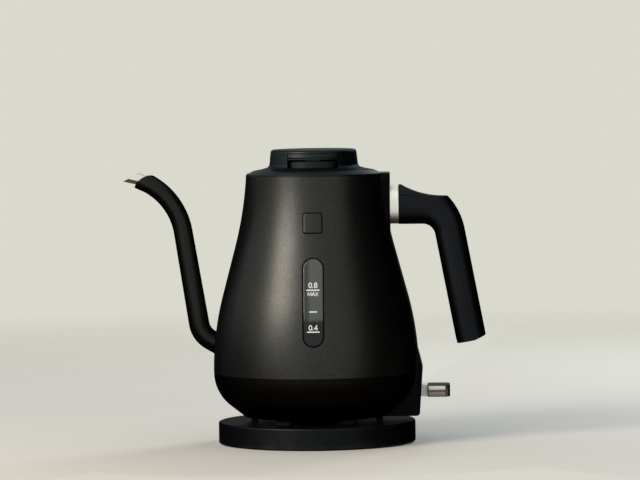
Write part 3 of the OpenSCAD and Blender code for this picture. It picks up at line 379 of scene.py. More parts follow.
LIGHT_EDGE = srgb(84, 88, 92)
MATERIALS = {
    "body_paint": satin_paint("satin_black_paint"),
    "base_plastic": satin("base_moulding", srgb(38, 41, 45), 0.42, LIGHT_EDGE, (0.2, 0.21, 0.23, 1),
                          spread=0.04),
    "bowl_plastic": satin("bowl_moulding", srgb(34, 33, 31), 0.42, srgb(46, 46, 46), DARK_RIM, dust=0.0),
    "black_plastic": plastic("inner_moulding", srgb(9, 9, 10), 0.5, srgb(24, 25, 26), wear=0.1, dust=0.004,
                             specular=0.04),
    "housing_plastic": plastic("housing_moulding", srgb(10, 10, 11), 0.5, srgb(24, 25, 26), wear=0.1,
                               dust=0.004, specular=0.06),
    "collar_plastic": satin("collar_moulding", srgb(40, 46, 49), 0.42, LIGHT_EDGE, (0.6, 0.62, 0.63, 1)),
    "paddle_edge": satin("paddle_moulding", srgb(84, 93, 92), 0.4, srgb(120, 124, 122), (0.3, 0.3, 0.3, 1)),
    "black_rubber": plastic("foot_rubber", srgb(30, 31, 32), 0.82, srgb(60, 60, 60), dust=0.04),
    "zinc_screw": metal("zinc_plating", (0.62, 0.64, 0.66, 1), 0.3, (0.85, 0.86, 0.88, 1), (900, 900, 900)),
    "brass_contact": metal("contact_brass", (0.72, 0.52, 0.22, 1), 0.28, (0.9, 0.75, 0.4, 1),
                           (200, 200, 3000)),
    "control_plastic": plastic("heatproof_moulding", srgb(205, 198, 178), 0.5, srgb(235, 230, 215)),
    "heater_aluminium": metal("heater_plate_aluminium", (0.66, 0.67, 0.68, 1), 0.4, (0.8, 0.8, 0.8, 1),
                              (80, 2400, 80)),
    "element_steel": metal("element_steel", (0.3, 0.26, 0.23, 1), 0.5, (0.5, 0.46, 0.42, 1), (300, 300, 300),
                           0.5),
    "vessel_steel": metal("vessel_steel", (0.62, 0.62, 0.61, 1), 0.32, (0.8, 0.8, 0.8, 1), (60, 60, 2600)),
    "lid_plastic": satin("lid_moulding", srgb(43, 49, 52), 0.42, LIGHT_EDGE, (0.4, 0.42, 0.43, 1)),
    "sleeve_plastic": satin("sleeve_moulding", srgb(44, 45, 45), 0.32, srgb(70, 70, 68),
                            (0.03, 0.03, 0.03, 1)),
    "polished_steel": metal("polished_steel", (0.95, 0.95, 0.94, 1), 0.13, (0.98, 0.98, 0.98, 1),
                            (500, 500, 500), 0.05, 0.003 * MM, (0.15, 0.15, 0.15, 1)),
    "silicone": plastic("grey_silicone", srgb(140, 142, 144), 0.7, srgb(170, 170, 170), dust=0.1),
    "window_clear": smoked_lens("smoked_window"),
    "badge_plastic": satin("badge_plate", srgb(55, 56, 56), 0.42, srgb(90, 90, 88), (0.4, 0.4, 0.4, 1),
                           grain=1800.0, depth=0.01 * MM),
    "bimetal": metal("bimetal", (0.66, 0.46, 0.26, 1), 0.3, (0.8, 0.7, 0.5, 1), (400, 400, 400)),
    "ferrule_steel": metal("turned_steel", (0.95, 0.97, 1.0, 1), 0.42, (0.95, 0.95, 0.95, 1), (5200, 60, 60),
                           0.3),
    "handle_plastic": satin("handle_moulding", srgb(34, 37, 42), 0.42, srgb(70, 74, 76), DARK_RIM),
    "stem_white": plastic("stem_moulding", srgb(250, 248, 243), 0.4, srgb(252, 252, 250), dust=0.0,
                          spread=0.04),
    "paddle_silver": metal("silvered_paddle", (0.74, 0.75, 0.79, 1), 0.26, (0.84, 0.85, 0.87, 1),
                           (90, 2600, 90), 0.18),
    "mark_print": plastic("mark_print", srgb(222, 224, 222), 0.6, srgb(240, 240, 240), grain=5000.0, wear=0.0,
                          dust=0.0),
}


def dress(obj, slot):
    """Gives an object the one material of that slot."""
    obj.data.materials.clear()
    obj.data.materials.append(MATERIALS[slot])


for part in frame["record"]["subparts"]:
    dress(frame["nodes"][part["node"]], part["material_slot"])
# the housing has a slightly glossier black than the other mouldings of its slot
dress(frame["nodes"]["switch_housing"], "housing_plastic")


# ---------------------------------------------------------------- mesh helpers
SHARP = math.radians(38)


def in_scene(name, data):
    """A new object in the scene, made of that data."""
    obj = bpy.data.objects.new(name, data)
    bpy.context.scene.collection.objects.link(obj)
    return obj


def shade(mesh):
    """Shades a mesh smooth, with a hard edge only where its faces turn by more than SHARP."""
    work = bmesh.new()
    work.from_mesh(mesh)
    for face in work.faces:
        face.smooth = True
    for edge in work.edges:
        edge.smooth = len(edge.link_faces) == 2 and edge.calc_face_angle() < SHARP
    work.to_mesh(mesh)
    work.free()


def mesh_object(name, points, faces):
    """An object in the scene from points and faces, its doubles merged and its faces turned outwards."""
    mesh = bpy.data.meshes.new(name)
    mesh.from_pydata([tuple(p) for p in points], [], faces)
    work = bmesh.new()
    work.from_mesh(mesh)
    bmesh.ops.remove_doubles(work, verts=work.verts, dist=0.001 * MM)
    bmesh.ops.recalc_face_normals(work, faces=work.faces)
    work.to_mesh(mesh)
    work.free()
    shade(mesh)
    return in_scene(name, mesh)


def mesh_piece(name, shape, body, slot):
    """A piece of the visual model that rides on a body: its shape is (points, faces)."""
    obj = mesh_object(name, *shape)
    dress(obj, slot)
    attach(obj, body)
    return obj


def skin(rings, round_trip=False, caps=()):
    """Points and quads through rings of equally many points; round_trip joins the last ring to the first,
    and caps names the end rings, 0 or -1, that are closed with a face."""
    size, count = len(rings[0]), len(rings)
    points = [p for ring in rings for p in ring]
    faces = []
    for j in range(count if round_trip else count - 1):
        g = (j + 1) % count
        for i in range(size):
            k = (i + 1) % size
            faces.append((j * size + i, j * size + k, g * size + k, g * size + i))
    for end in caps:
        faces.append(tuple(end % count * size + i for i in range(size)))
    return points, faces


def solid(rings):
    """The skin through rings, closed at both ends."""
    return skin(rings, caps=(0, -1))


def joined(*shapes):
    """Several shapes as one, each made of points and faces."""
    points, faces = [], []
    for more_points, more_faces in shapes:
        faces += [tuple(len(points) + i for i in face) for face in more_faces]
        points += more_points
    return points, faces


def round_angles(count):
    """Angles that part a full turn into count even ones."""
    return [2 * math.pi * k / count for k in range(count)]


def arc(centre, radius, first, last, count):
    """Points on an arc, in millimetres and degrees, as a turned line's (radius, height) pairs."""
    return [polar(centre, radius, math.radians(a)) for a in steps(first, last, count)]


def turned(line, columns=216, unit=MM):
    """Rings round the kettle's axis through a line of (radius, height) pairs, in that unit."""
    return [[on_kettle(r * unit * math.cos(a), r * unit * math.sin(a), h * unit)
             for a in round_angles(columns)] for r, h in line]


def block(x, y, h):
    """A box from its (low, high) pairs in millimetres."""
    corners = ((x[0], y[0]), (x[1], y[0]), (x[1], y[1]), (x[0], y[1]))
    return solid([[on_kettle(a * MM, b * MM, level * MM) for a, b in corners] for level in h])


# ---------------------------------------------------------------- body
SEAM_H, SHELL_TOP_H, SHELL_T = 32.4 * MM, 181.2 * MM, 1.0 * MM
WINDOW_HALF, WINDOW_LOW_H, WINDOW_TOP_H = 8.25 * MM, 56.0 * MM, 121.9 * MM
BADGE_HALF_W, BADGE_HALF_H, BADGE_H = 7.5 * MM, 7.85 * MM, 147.0 * MM
BADGE_CORNER, BADGE_CORNER_LEAST = 1.9 * MM, 0.15 * MM
# how far the cutters reach: the pipe's hole along the spout's root, and the window's slot in y
ROD_REACH, SLOT_CUT_Y = (-20 * MM, 14 * MM), (-90 * MM, -40 * MM)


def slot_line(inset, arc_steps=20):
    """The window's outline, drawn in by inset: (x, h) points round a slot with round ends."""
    radius = WINDOW_HALF - inset
    line = []
    for middle_h, first in ((WINDOW_TOP_H - WINDOW_HALF, 0.0), (WINDOW_LOW_H + WINDOW_HALF, math.pi)):
        line += [polar((0.0, middle_h), radius, a) for a in steps(first, first + math.pi, arc_steps)]
    return with_sides(line, arc_steps)


def with_sides(line, arc_steps, count=24):
    """Adds points along the two straight sides, so that a face there can follow the flank's curve."""
    half = arc_steps + 1
    low, high = line[half:], line[:half]
    left = [between(high[-1], low[0], k / count) for k in range(1, count)]
    right = [between(low[-1], high[0], k / count) for k in range(1, count)]
    return high + left + low + right


def badge_line(inset, arc_steps=8, side_steps=8):
    """The badge's outline, drawn in by inset: a square with round corners."""
    radius = max(BADGE_CORNER - inset, BADGE_CORNER_LEAST)
    reach_x, reach_h = BADGE_HALF_W - inset - radius, BADGE_HALF_H - inset - radius
    line = []
    for side_x, side_h, first in ((1, 1, 0.0), (-1, 1, 0.5), (-1, -1, 1.0), (1, -1, 1.5)):
        middle = (side_x * reach_x, BADGE_H + side_h * reach_h)
        corner = [polar(middle, radius, math.pi * a) for a in steps(first, first + 0.5, arc_steps)]
        line += [between(line[-1], corner[0], k / side_steps) for k in range(1, side_steps)] if line else []
        line += corner
    return line + [between(line[-1], line[0], k / side_steps) for k in range(1, side_steps)]


def front_point(x, h, depth):
    """A point on the front of the kettle, depth behind the flank's face."""
    return on_kettle(x, -math.sqrt((body_radius(h) - depth) ** 2 - x ** 2), h)


def front_rings(outline, layers):
    """Rings that follow the front of the kettle, one for each (inset, depth) pair in millimetres."""
    return [[front_point(x, h, depth * MM) for x, h in outline(inset * MM)] for inset, depth in layers]


def cut_away(obj, shape):
    """Cuts a closed shape out of a piece's mesh."""
    cutter = mesh_object("cutter", *shape)
    modifier = obj.modifiers.new("cut", "BOOLEAN")
    modifier.object, modifier.operation, modifier.solver = cutter, "DIFFERENCE", "EXACT"
    bpy.context.view_layer.update()
    cut = bpy.data.meshes.new_from_object(obj.evaluated_get(bpy.context.evaluated_depsgraph_get()))
    obj.modifiers.remove(modifier)
    bpy.data.meshes.remove(cutter.data)
    shade(cut)
    obj.data = cut


def flank_normal(point, inside):
    """The flank's own outward normal at a point near it, or the inward one."""
    x, y, h = point.x - AXIS_X, point.y, point.z - STAND_Z
    slope = (body_radius(h + 0.5 * MM) - body_radius(h - 0.5 * MM)) / MM
    out = Vector((x, y, -slope * math.hypot(x, y))).normalized()
    return -out if inside else out


def pipe_rod(sides=40):
    """The clear hole that the spout's pipe passes through, as a rod along the spout's root."""
    radius, angles = TUBE_R + FIT, round_angles(sides)
    outline = [(polar(ROOT_START, radius * math.cos(b), ROOT_A), radius * math.sin(b)) for b in angles]
    return solid([[on_kettle(x + out * ROOT_OUT[0], y, h + out * ROOT_OUT[1]) for (x, h), y in outline]
                  for out in ROD_REACH])


def make_body_skin(columns=240):
    """The painted steel shell: one smooth turned sheet, with the window's slot and the pipe's hole in it."""
    top_h = SHELL_TOP_H - 0.05 * MM
    line = [(body_radius(SEAM_H) - inset * MM, SEAM_H + rise * MM)
            for inset, rise in ((0.9, 0.0), (0.62, 0.06), (0.38, 0.18), (0.2, 0.36), (0.07, 0.6))]
    line += [(body_radius(h), h) for h in steps(SEAM_H + 0.9 * MM, top_h, 72)]
    line += [(body_radius(h) - SHELL_T, h) for h in steps(top_h, SEAM_H, 24)]
    shape = skin(turned(line, columns, unit=1), round_trip=True)
    piece = mesh_piece("body_skin", shape, "kettle", "body_paint")
    window = solid([[on_kettle(x, y, h) for x, h in slot_line(0.0)] for y in SLOT_CUT_Y])
    cut_away(piece, joined(window, pipe_rod()))
    set_flank_normals(piece.data)
    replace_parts(piece, "body_shell")


def set_flank_normals(mesh, alike=0.9, level=0.45, near_outer=0.15 * MM, near_inner=0.1 * MM):
    """Gives the shell's two faces the flank's own normals, so that the cuts in it don't show in its sheen.
    The faces meant lie near the flank, aren't level, and look almost the way that it does."""
    normals = []
    for polygon in mesh.polygons:
        middle = polygon.center
        depth = body_radius(middle.z - STAND_Z) - math.hypot(middle.x - AXIS_X, middle.y)
        for corner in polygon.loop_indices:
            spot = mesh.vertices[mesh.loops[corner].vertex_index].co
            away = body_radius(spot.z - STAND_Z) - math.hypot(spot.x - AXIS_X, spot.y)
            outward, inward = flank_normal(spot, False), flank_normal(spot, True)
            if abs(polygon.normal.z) < level and depth < near_outer and polygon.normal.dot(outward) > alike:
                normals.append(outward)
            elif abs(away - SHELL_T) < near_inner and polygon.normal.dot(inward) > alike:
                normals.append(inward)
            else:
                normals.append(polygon.normal.copy())
    mesh.normals_split_custom_set([tuple(n) for n in normals])


def make_window():
    """The water window: a rounded trim let into the slot, and its lens, returned as a surface to print on."""
    trim = [(0.04, 2.2), (0.04, 0.35), (0.10, 0.2), (0.25, 0.12), (0.5, 0.12), (0.72, 0.2), (0.85, 0.4),
            (0.88, 2.2)]
    shape = skin(front_rings(slot_line, trim), round_trip=True)
    piece = mesh_piece("window_trim", shape, "kettle", "black_plastic")
    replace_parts(piece, "window_frame")
    lens = [(0.95, 5.2), (0.95, 0.85), (1.0, 0.66), (1.15, 0.5), (1.4, 0.4), (1.8, 0.33), (2.6, 0.26),
            (3.6, 0.2), (4.8, 0.16), (6.0, 0.13), (7.2, 0.12), (WINDOW_HALF / MM, 0.12)]
    shape = skin(front_rings(slot_line, lens), caps=(0,))
    piece = mesh_piece("water_window", shape, "kettle", "window_clear")
    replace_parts(piece, "window_lens")
    return BVHTree.FromPolygons(*shape)


def make_badge():
    """The badge as a bare plate: a dark rounded rim round a slightly sunk field."""
    rim = [(0.0, 0.0), (0.0, -0.28), (0.1, -0.37), (0.3, -0.4), (0.6, -0.4), (0.75, -0.36), (0.82, -0.2),
           (0.82, 0.0)]
    shape = skin(front_rings(badge_line, rim), round_trip=True)
    piece = mesh_piece("badge_rim", shape, "kettle", "black_plastic")
    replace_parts(piece, "badge")
    field = [(0.84, 0.0), (0.84, -0.2), (0.9, -0.24), (2.0, -0.25), (3.5, -0.26), (5.5, -0.27), (7.0, -0.27)]
    piece = mesh_piece("badge_plate", solid(front_rings(badge_line, field)), "kettle", "badge_plastic")
    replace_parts(piece, "badge")


# ---------------------------------------------------------------- lid and collar
# all in millimetres, with _H for heights above the kettle's underside
NECK_BORE, COLLAR_TOP_H, SEAT_H, LID_R, LID_TOP_H, ROOF_H = 41.6, 184.3, 183.4, 44.1, 200.3, 197.8
RECESS_HALF, RECESS_R, RECESS_LOW_H, SLOT_LOW_H, CAVITY_R = 19.0, 29.5, 186.7, 191.4, 27.4
PAST_LID = 45
NECK_LOW_H, COLLAR_LEDGE = 166.2, 2.0
LATCH_HALF, LATCH_SLOTS_Y, LATCH_H = 5.8, ((39.9, 43.0), (-43.9, -40.8)), (165, 200)
BRACKET_PAD = ((49.0, 56.7), (-12.7, 12.7), (181.35, 181.98))
SIDE_OPENING = ((-60, -20), (-4, 4), (189.9, 192.5))
SLOT_SIDE, SLOT_REACH = 0.55, (18, 48)
RIB_T, RIB_LOW_H = 1.0, 189.5


def make_collar():
    """The collar: a round-edged sloping face, the seat and the neck with its two latch slots."""
    shell_h = SHELL_TOP_H / MM
    seat_r, seat_h = LID_R + 0.35, SEAT_H - 0.3
    line = [(NECK_BORE, NECK_LOW_H), (NECK_BORE, seat_h), (seat_r, seat_h), (seat_r, COLLAR_TOP_H - 0.2)]
    line += arc((LID_R + 0.65, COLLAR_TOP_H - 0.3), 0.3, 170, 70, 5)
    line += [(46.9, 183.5), (47.2, 183.3), (47.35, 182.95), (47.7, 182.8), (49.1, 182.45), (49.4, 182.3),
             (49.5, 182.1)]
    line += arc((49.95, 181.65), 0.5, 75, 0, 8) + arc((50.2, 180.85), 0.25, 0, -80, 5)
    line += [(body_radius(h * MM) / MM + 0.04, h) for h in (180.65, 181.1)] + [(49.7, shell_h + 0.02)]
    line += [(NECK_BORE + COLLAR_LEDGE, shell_h + 0.02), (NECK_BORE + COLLAR_LEDGE, NECK_LOW_H)]
    shape = joined(skin(turned(line), round_trip=True), block(*BRACKET_PAD))
    piece = mesh_piece("collar_trim", shape, "kettle", "collar_plastic")
    for y in LATCH_SLOTS_Y:
        cut_away(piece, block((-LATCH_HALF, LATCH_HALF), y, LATCH_H))
    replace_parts(piece, "collar_ring")


def make_lid():
    """The lid's cap: a drum grip that flares to a skirt, with a finger recess at the front and the back."""
    line = [(1.0, LID_TOP_H), (16.6, LID_TOP_H - 0.1), (28.7, LID_TOP_H - 0.4)]
    line += arc((30.0, 197.6), 2.3, 80, 5, 12)
    line += arc((36.6, 189.6), 3.4, 180, 250, 12) + [(39.0, 185.35), (41.5, 184.85), (43.5, 184.45)]
    line += arc((43.7, 184.0), 0.4, 75, 0, 5)
    line += [(LID_R, SEAT_H), (CAVITY_R, SEAT_H), (CAVITY_R, ROOF_H), (1.0, ROOF_H)]
    piece = mesh_piece("lid_cover", solid(turned(line)), "lid", "lid_plastic")
    half = math.degrees(math.acos(RECESS_HALF / RECESS_R))
    for side in (-1, 1):
        wall = [(x, side * y) for x, y in arc((0, 0), RECESS_R, half, 180 - half, 24)]
        outline = wall + [(x, side * PAST_LID) for x in (-RECESS_HALF, RECESS_HALF)]
        cut_away(piece, solid([[on_kettle(x * MM, y * MM, h * MM) for x, y in outline]
                               for h in (RECESS_LOW_H, ROOF_H)]))
        cut_away(piece, block((SLOT_SIDE - RECESS_HALF, RECESS_HALF - SLOT_SIDE),
                              sorted(side * reach for reach in SLOT_REACH), (SLOT_LOW_H, ROOF_H + 0.1)))
    cut_away(piece, block(*SIDE_OPENING))
    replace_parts(piece, "lid_cap")
    ribs = [block(sorted((side * (RECESS_HALF - RIB_T), side * RECESS_HALF)), (-RECESS_HALF, RECESS_HALF),
                  (RIB_LOW_H, ROOF_H - 0.02)) for side in (-1, 1)]
    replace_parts(mesh_piece("lid_ribs", joined(*ribs), "lid", "lid_plastic"), "lid_cap")


# ---------------------------------------------------------------- spout
# flat points are (x, height above the kettle's underside); turns are measured from the x axis
SPOUT_FOOT = (-70.4 * MM, 72.7 * MM)
SPOUT_FOOT_R, SPOUT_TOP_R, SPOUT_RUN = 17.6 * MM, 51 * MM, 69.9 * MM
ROOT_TILT, SPOUT_LEAN = math.radians(30), math.radians(9)
SLEEVE_TURN, LIP_TURN = math.radians(60), math.radians(83)
SLEEVE_FOOT_R, SLEEVE_TOP_R = 7.7 * MM, 7.1 * MM
TUBE_R, TUBE_WALL = 4.35 * MM, 0.6 * MM
FIT = 0.1 * MM
NOSE_R, NOSE_IN, NOSE_BACK = 13.6 * MM, 5 * MM, math.radians(6)
MOUTH_SLANT, PIPE_TURN = math.radians(29), math.radians(72)
# the pipe goes through the shell, the gap behind it and the vessel's wall, and a little beyond
WALL_GAP, VESSEL_T, PIPE_BEYOND = 3.7 * MM, 0.8 * MM, 0.6 * MM
PIPE_INSIDE = SHELL_T + WALL_GAP + VESSEL_T + PIPE_BEYOND
# the centre line: a bend at the foot, a straight leaning run and the upper bend
RUN_START = polar(SPOUT_FOOT, -SPOUT_FOOT_R, SPOUT_LEAN)
RUN_END = (RUN_START[0] - SPOUT_RUN * math.sin(SPOUT_LEAN), RUN_START[1] + SPOUT_RUN * math.cos(SPOUT_LEAN))
TOP_BEND = polar(RUN_END, -SPOUT_TOP_R, SPOUT_LEAN)
ROOT_A = math.pi / 2 - ROOT_TILT
ROOT_START = polar(SPOUT_FOOT, -SPOUT_FOOT_R, ROOT_A)
ROOT_OUT = (-math.cos(ROOT_TILT), math.sin(ROOT_TILT))
LIP = polar(TOP_BEND, SPOUT_TOP_R - TUBE_R, LIP_TURN)


def spout_stations(foot, top, turn):
    """(middle, turn of the ring's plane, radius) along the bend, the tapered run and the upper bend."""
    bend = [(polar(SPOUT_FOOT, -SPOUT_FOOT_R, a), a, foot) for a in steps(ROOT_A, SPOUT_LEAN, 18)]
    run = [(between(RUN_START, RUN_END, s), SPOUT_LEAN, foot + (top - foot) * s)
           for s in steps(0, 1, 14)[1:-1]]
    over = [(polar(TOP_BEND, SPOUT_TOP_R, a), a, top) for a in steps(SPOUT_LEAN, turn, 30)]
    return bend + run + over


def spout_ring(station, sides):
    """A ring across the spout at a station."""
    middle, turn, radius = station
    ring = []
    for b in round_angles(sides):
        x, h = polar(middle, radius * math.cos(b), turn)
        ring.append(on_kettle(x, radius * math.sin(b), h))
    return ring


def body_ring(radius, gap, sides):
    """The ring where the spout's root meets the body, gap clear of it."""
    ring = []
    for b in round_angles(sides):
        y = radius * math.sin(b)
        x, h = polar(ROOT_START, radius * math.cos(b), ROOT_A)
        for _ in range(6):
            move = (-math.sqrt((body_radius(h) + gap) ** 2 - y * y) - x) / ROOT_OUT[0]
            x, h = moved((x, h), ROOT_OUT, move)
        ring.append(on_kettle(x, y, h))
    return ring


def bend_ring(radius, sides, turn_at):
    """A ring across the upper bend, each point of which stands at its own turn."""
    ring = []
    for b in round_angles(sides):
        rho = SPOUT_TOP_R + radius * math.cos(b)
        x, h = polar(TOP_BEND, rho, turn_at(rho))
        ring.append(on_kettle(x, radius * math.sin(b), h))
    return ring


def nose_turn(back):
    """Turn at each radius for the sleeve's round nose, back metres behind its face."""
    away, middle = SPOUT_TOP_R - NOSE_IN, SLEEVE_TURN - NOSE_BACK

    def turn_at(rho):
        return middle + math.acos((rho ** 2 + away ** 2 - NOSE_R ** 2) / (2 * rho * away)) - back / rho

    return turn_at


def mouth_turn(back):
    """Turn at each radius for the steel tube's slanting mouth."""
    reach = -math.sin(MOUTH_SLANT) * (LIP[0] - TOP_BEND[0]) + math.cos(MOUTH_SLANT) * (LIP[1] - TOP_BEND[1])

    def turn_at(rho):
        return math.pi / 2 + MOUTH_SLANT - math.acos(reach / rho) - back / rho

    return turn_at


def spout_skin(foot, top, bore, turn, rim, gap, sides):
    """A pipe along the spout: from the body up its outside, over its rim and back down its bore.
    rim is a list of radii, each with the function that gives its points' turn."""
    rings = [body_ring(foot, gap, sides)]
    rings += [spout_ring(station, sides) for station in spout_stations(foot, top, turn)]
    rings += [bend_ring(radius, sides, turn_at) for radius, turn_at in rim]
    rings += [spout_ring(station, sides) for station in reversed(spout_stations(bore, bore, turn))]
    return skin(rings + [body_ring(bore, gap, sides)], round_trip=True)


def make_sleeve():
    """The black sleeve, from the body up to its round nose."""
    bore = TUBE_R + FIT
    edge = ((0.0, 0.8), (0.06, 0.42), (0.22, 0.16), (0.5, 0.02), (0.9, 0.0))
    rim = [(SLEEVE_TOP_R - inset * MM, nose_turn(back * MM)) for inset, back in edge]
    rim.append((bore, nose_turn(0.0)))
    shape = spout_skin(SLEEVE_FOOT_R, SLEEVE_TOP_R, bore, SLEEVE_TURN, rim, FIT, 72)
    piece = mesh_piece("spout_cover", shape, "kettle", "sleeve_plastic")
    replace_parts(piece, "spout_sleeve")


def make_spout_tube():
    """The steel pipe, from inside the vessel up to its slanting mouth."""
    bore = TUBE_R - TUBE_WALL
    edge = ((0.0, 0.5), (0.05, 0.12), (0.16, 0.02), (0.3, 0.0), (0.46, 0.04))
    rim = [(TUBE_R - inset * MM, mouth_turn(back * MM)) for inset, back in edge]
    rim.append((bore, mouth_turn(0.3 * MM)))
    shape = spout_skin(TUBE_R, TUBE_R, bore, PIPE_TURN, rim, -PIPE_INSIDE, 56)
    piece = mesh_piece("spout_pipe", shape, "kettle", "polished_steel")
    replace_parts(piece, "spout_tube")


# ---------------------------------------------------------------- handle
# a flat arm that bends down into a leaning grip; flat points are as for the spout
HANDLE_LOW, HANDLE_W, GRIP_T, WALL = 142.9 * MM, 24 * MM, 22.6 * MM, 2.2 * MM
INNER_BEND, OUTER_BEND, THUMB_ARC = 9.5 * MM, 49 * MM, 59.5 * MM
GRIP_LEAN, GRIP_END = math.radians(10.6), 55.6 * MM
HANDLE_REACH, ROOT_X = 127.59 * MM, 63.3 * MM
LEAN_DIR = (math.cos(GRIP_LEAN), math.sin(GRIP_LEAN))
DOWN_DIR = (math.sin(GRIP_LEAN), -math.cos(GRIP_LEAN))
GRIP_RUN = (HANDLE_LOW - INNER_BEND + INNER_BEND * LEAN_DIR[1] - GRIP_END) / math.cos(GRIP_LEAN)
INNER_C = (HANDLE_REACH - (INNER_BEND + GRIP_T) * LEAN_DIR[0] - GRIP_RUN * DOWN_DIR[0],
           HANDLE_LOW - INNER_BEND)
TURN_END = moved(INNER_C, LEAN_DIR, INNER_BEND)
OUTER_C = moved(TURN_END, LEAN_DIR, GRIP_T - OUTER_BEND)
THUMB_C = (OUTER_C[0] + 31.7 * MM, OUTER_C[1] + 92.9 * MM)
THUMB_FLAT = 2 * MM
# the seam between the two shells, in turns of their section, and the (inset, turn) pairs that round its edges
SEAM_TURN, SEAM_HALF, SEAM_EDGE = math.radians(8), math.radians(0.2), math.radians(0.7)
SEAM_ROUND = ((0.22 * MM, 0.0), (0.06 * MM, 0.3 * SEAM_EDGE))


def handle_stations():
    """Pairs of an inner and an outer edge point, from the ferrule round the bend to the grip's end."""
    pairs = []
    for x in steps(ROOT_X, INNER_C[0], 26)[:-1]:
        pairs.append(((x, HANDLE_LOW), (x, OUTER_C[1] + math.sqrt(OUTER_BEND ** 2 - (x - OUTER_C[0]) ** 2))))
    arm_end = math.acos((INNER_C[0] - OUTER_C[0]) / OUTER_BEND)
    for s in steps(0, 1, 44):
        inner_a, outer_a = math.pi / 2 + (GRIP_LEAN - math.pi / 2) * s, arm_end + (GRIP_LEAN - arm_end) * s
        pairs.append((polar(INNER_C, INNER_BEND, inner_a), polar(OUTER_C, OUTER_BEND, outer_a)))
    for s in steps(0, 1, 14)[1:]:
        low = moved(TURN_END, DOWN_DIR, GRIP_RUN * s)
        pairs.append((low, moved(low, LEAN_DIR, GRIP_T)))
    return pairs


def handle_point(thick, inset, angle):
    """A point of the handle's rounded section, drawn in by inset: across the handle, and outwards."""
    c, s = math.cos(angle), math.sin(angle)
    return (math.copysign(abs(c) ** 0.8, c) * (HANDLE_W - 2 * inset) / 2,
            math.copysign(abs(s) ** 0.8, s) * (thick - 2 * inset) / 2)


def handle_ring(pair, first, last, count):
    """One ring of a handle shell: its outside from one seam to the other, and back along its inside."""
    inner, outer = pair
    thick = math.hypot(outer[0] - inner[0], outer[1] - inner[1])
    up = ((outer[0] - inner[0]) / thick, (outer[1] - inner[1]) / thick)
    middle = between(inner, outer, 0.5)

    def placed(inset, angle):
        across, out = handle_point(thick, inset, angle)
        x, h = moved(middle, up, out)
        beside, least = max(x, ROOT_X + THUMB_FLAT) - THUMB_C[0], THUMB_ARC + inset
        if abs(beside) < least:
            h = min(h, THUMB_C[1] - math.sqrt(least ** 2 - beside ** 2))
        return on_kettle(x, across, h)

    ring = [placed(inset, first + turn) for inset, turn in SEAM_ROUND]
    ring += [placed(0.0, min(max(a, first + SEAM_EDGE), last - SEAM_EDGE)) for a in steps(first, last, count)]
    ring += [placed(inset, last - turn) for inset, turn in reversed(SEAM_ROUND)]
    return ring + [placed(WALL, a) for a in reversed(steps(first, last, 24))]


def make_handle():
    """The handle's two shells: the grip below the seam and the cover over its back."""
    pairs = handle_stations()
    near, far = SEAM_TURN + SEAM_HALF, SEAM_TURN - SEAM_HALF
    shells = (("handle_grip", "grip_shell", math.pi - far, 2 * math.pi + far, 56),
              ("handle_back", "back_cover", near, math.pi - near, 44))
    for name, node, first, last, count in shells:
        shape = solid([handle_ring(pair, first, last, count) for pair in pairs])
        piece = mesh_piece(name, shape, "kettle", "handle_plastic")
        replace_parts(piece, node)


# ---------------------------------------------------------------- power lever
def make_paddle():
    """The lever's paddle: a dark round-edged block with a silvered plate let into its front and its back."""
    low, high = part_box("lever_paddle")
    half_w = (high.y - low.y) / 2
    end_r, end_c = 12.6 * MM, high.x - 10 * MM

    def outline(inset):
        wide = half_w - inset
        end = [(min(high.x, end_c + math.sqrt(end_r ** 2 - y * y)) - inset, y)
               for y in steps(-wide, wide, 28)]
        return [(low.x + inset, -wide)] + end + [(low.x + inset, wide)]

    edge = [(0.9, 0.0), (0.45, 0.07), (0.15, 0.3), (0.0, 0.8)]
    layers = [(inset, low.z + rise * MM) for inset, rise in edge]
    layers += [(inset, high.z - drop * MM) for inset, drop in reversed(edge)]
    rings = [[Vector((x, y, z)) for x, y in outline(inset * MM)] for inset, z in layers]
    piece = mesh_piece("paddle_block", solid(rings), "power_lever", "paddle_edge")
    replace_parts(piece, "lever_paddle")

    # the plates' path along the side and round the end: x, y, turn towards the end, and share of the depth
    first, last = math.asin(half_w / end_r), math.acos((high.x - 1.8 * MM - end_c) / end_r)
    path = [(low.x + 0.6 * MM, half_w, 0.0, 0.4), (low.x + 0.9 * MM, half_w, 0.0, 1.0)]
    path.append((end_c + end_r * math.cos(first) - 0.3 * MM, half_w, 0.0, 1.0))
    path += [(end_c + end_r * math.cos(t), end_r * math.sin(t), math.cos(t), 1.0)
             for t in steps(first, last, 6)]
    path.append(path[-1][:3] + (0.3,))
    # their section: a lip at the foot, a crease and a swelling face, as millimetres outwards and a height
    bottom, crease, top = low.z + 0.1 * MM, low.z + 3.7 * MM, high.z - 1.0 * MM
    face = [(-0.6, bottom), (0.44, bottom), (0.5, bottom + 0.15 * MM), (0.06, crease)]
    face += [(0.06 + 0.34 * (1 - (2 * t - 1) ** 2), crease + (top - crease) * t) for t in steps(0, 1, 14)[1:]]
    face.append((-0.6, top))

    def plate_ring(station, side):
        x, y, turn, deep = station
        across, gain = math.sqrt(1 - turn ** 2), deep * MM
        return [Vector((x + turn * out * gain, side * (y + across * out * gain), z)) for out, z in face]

    for name, side in (("paddle_plate_front", -1), ("paddle_plate_back", 1)):
        shape = solid([plate_ring(station, side) for station in path])
        piece = mesh_piece(name, shape, "power_lever", "paddle_silver")
        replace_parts(piece, "lever_paddle")


# ---------------------------------------------------------------- water marks
def oval(cx, cy, rx, ry, n=20):
    """Points round an oval with that middle and those half widths."""
    return [(cx + rx * math.cos(a), cy + ry * math.sin(a)) for a in round_angles(n)]


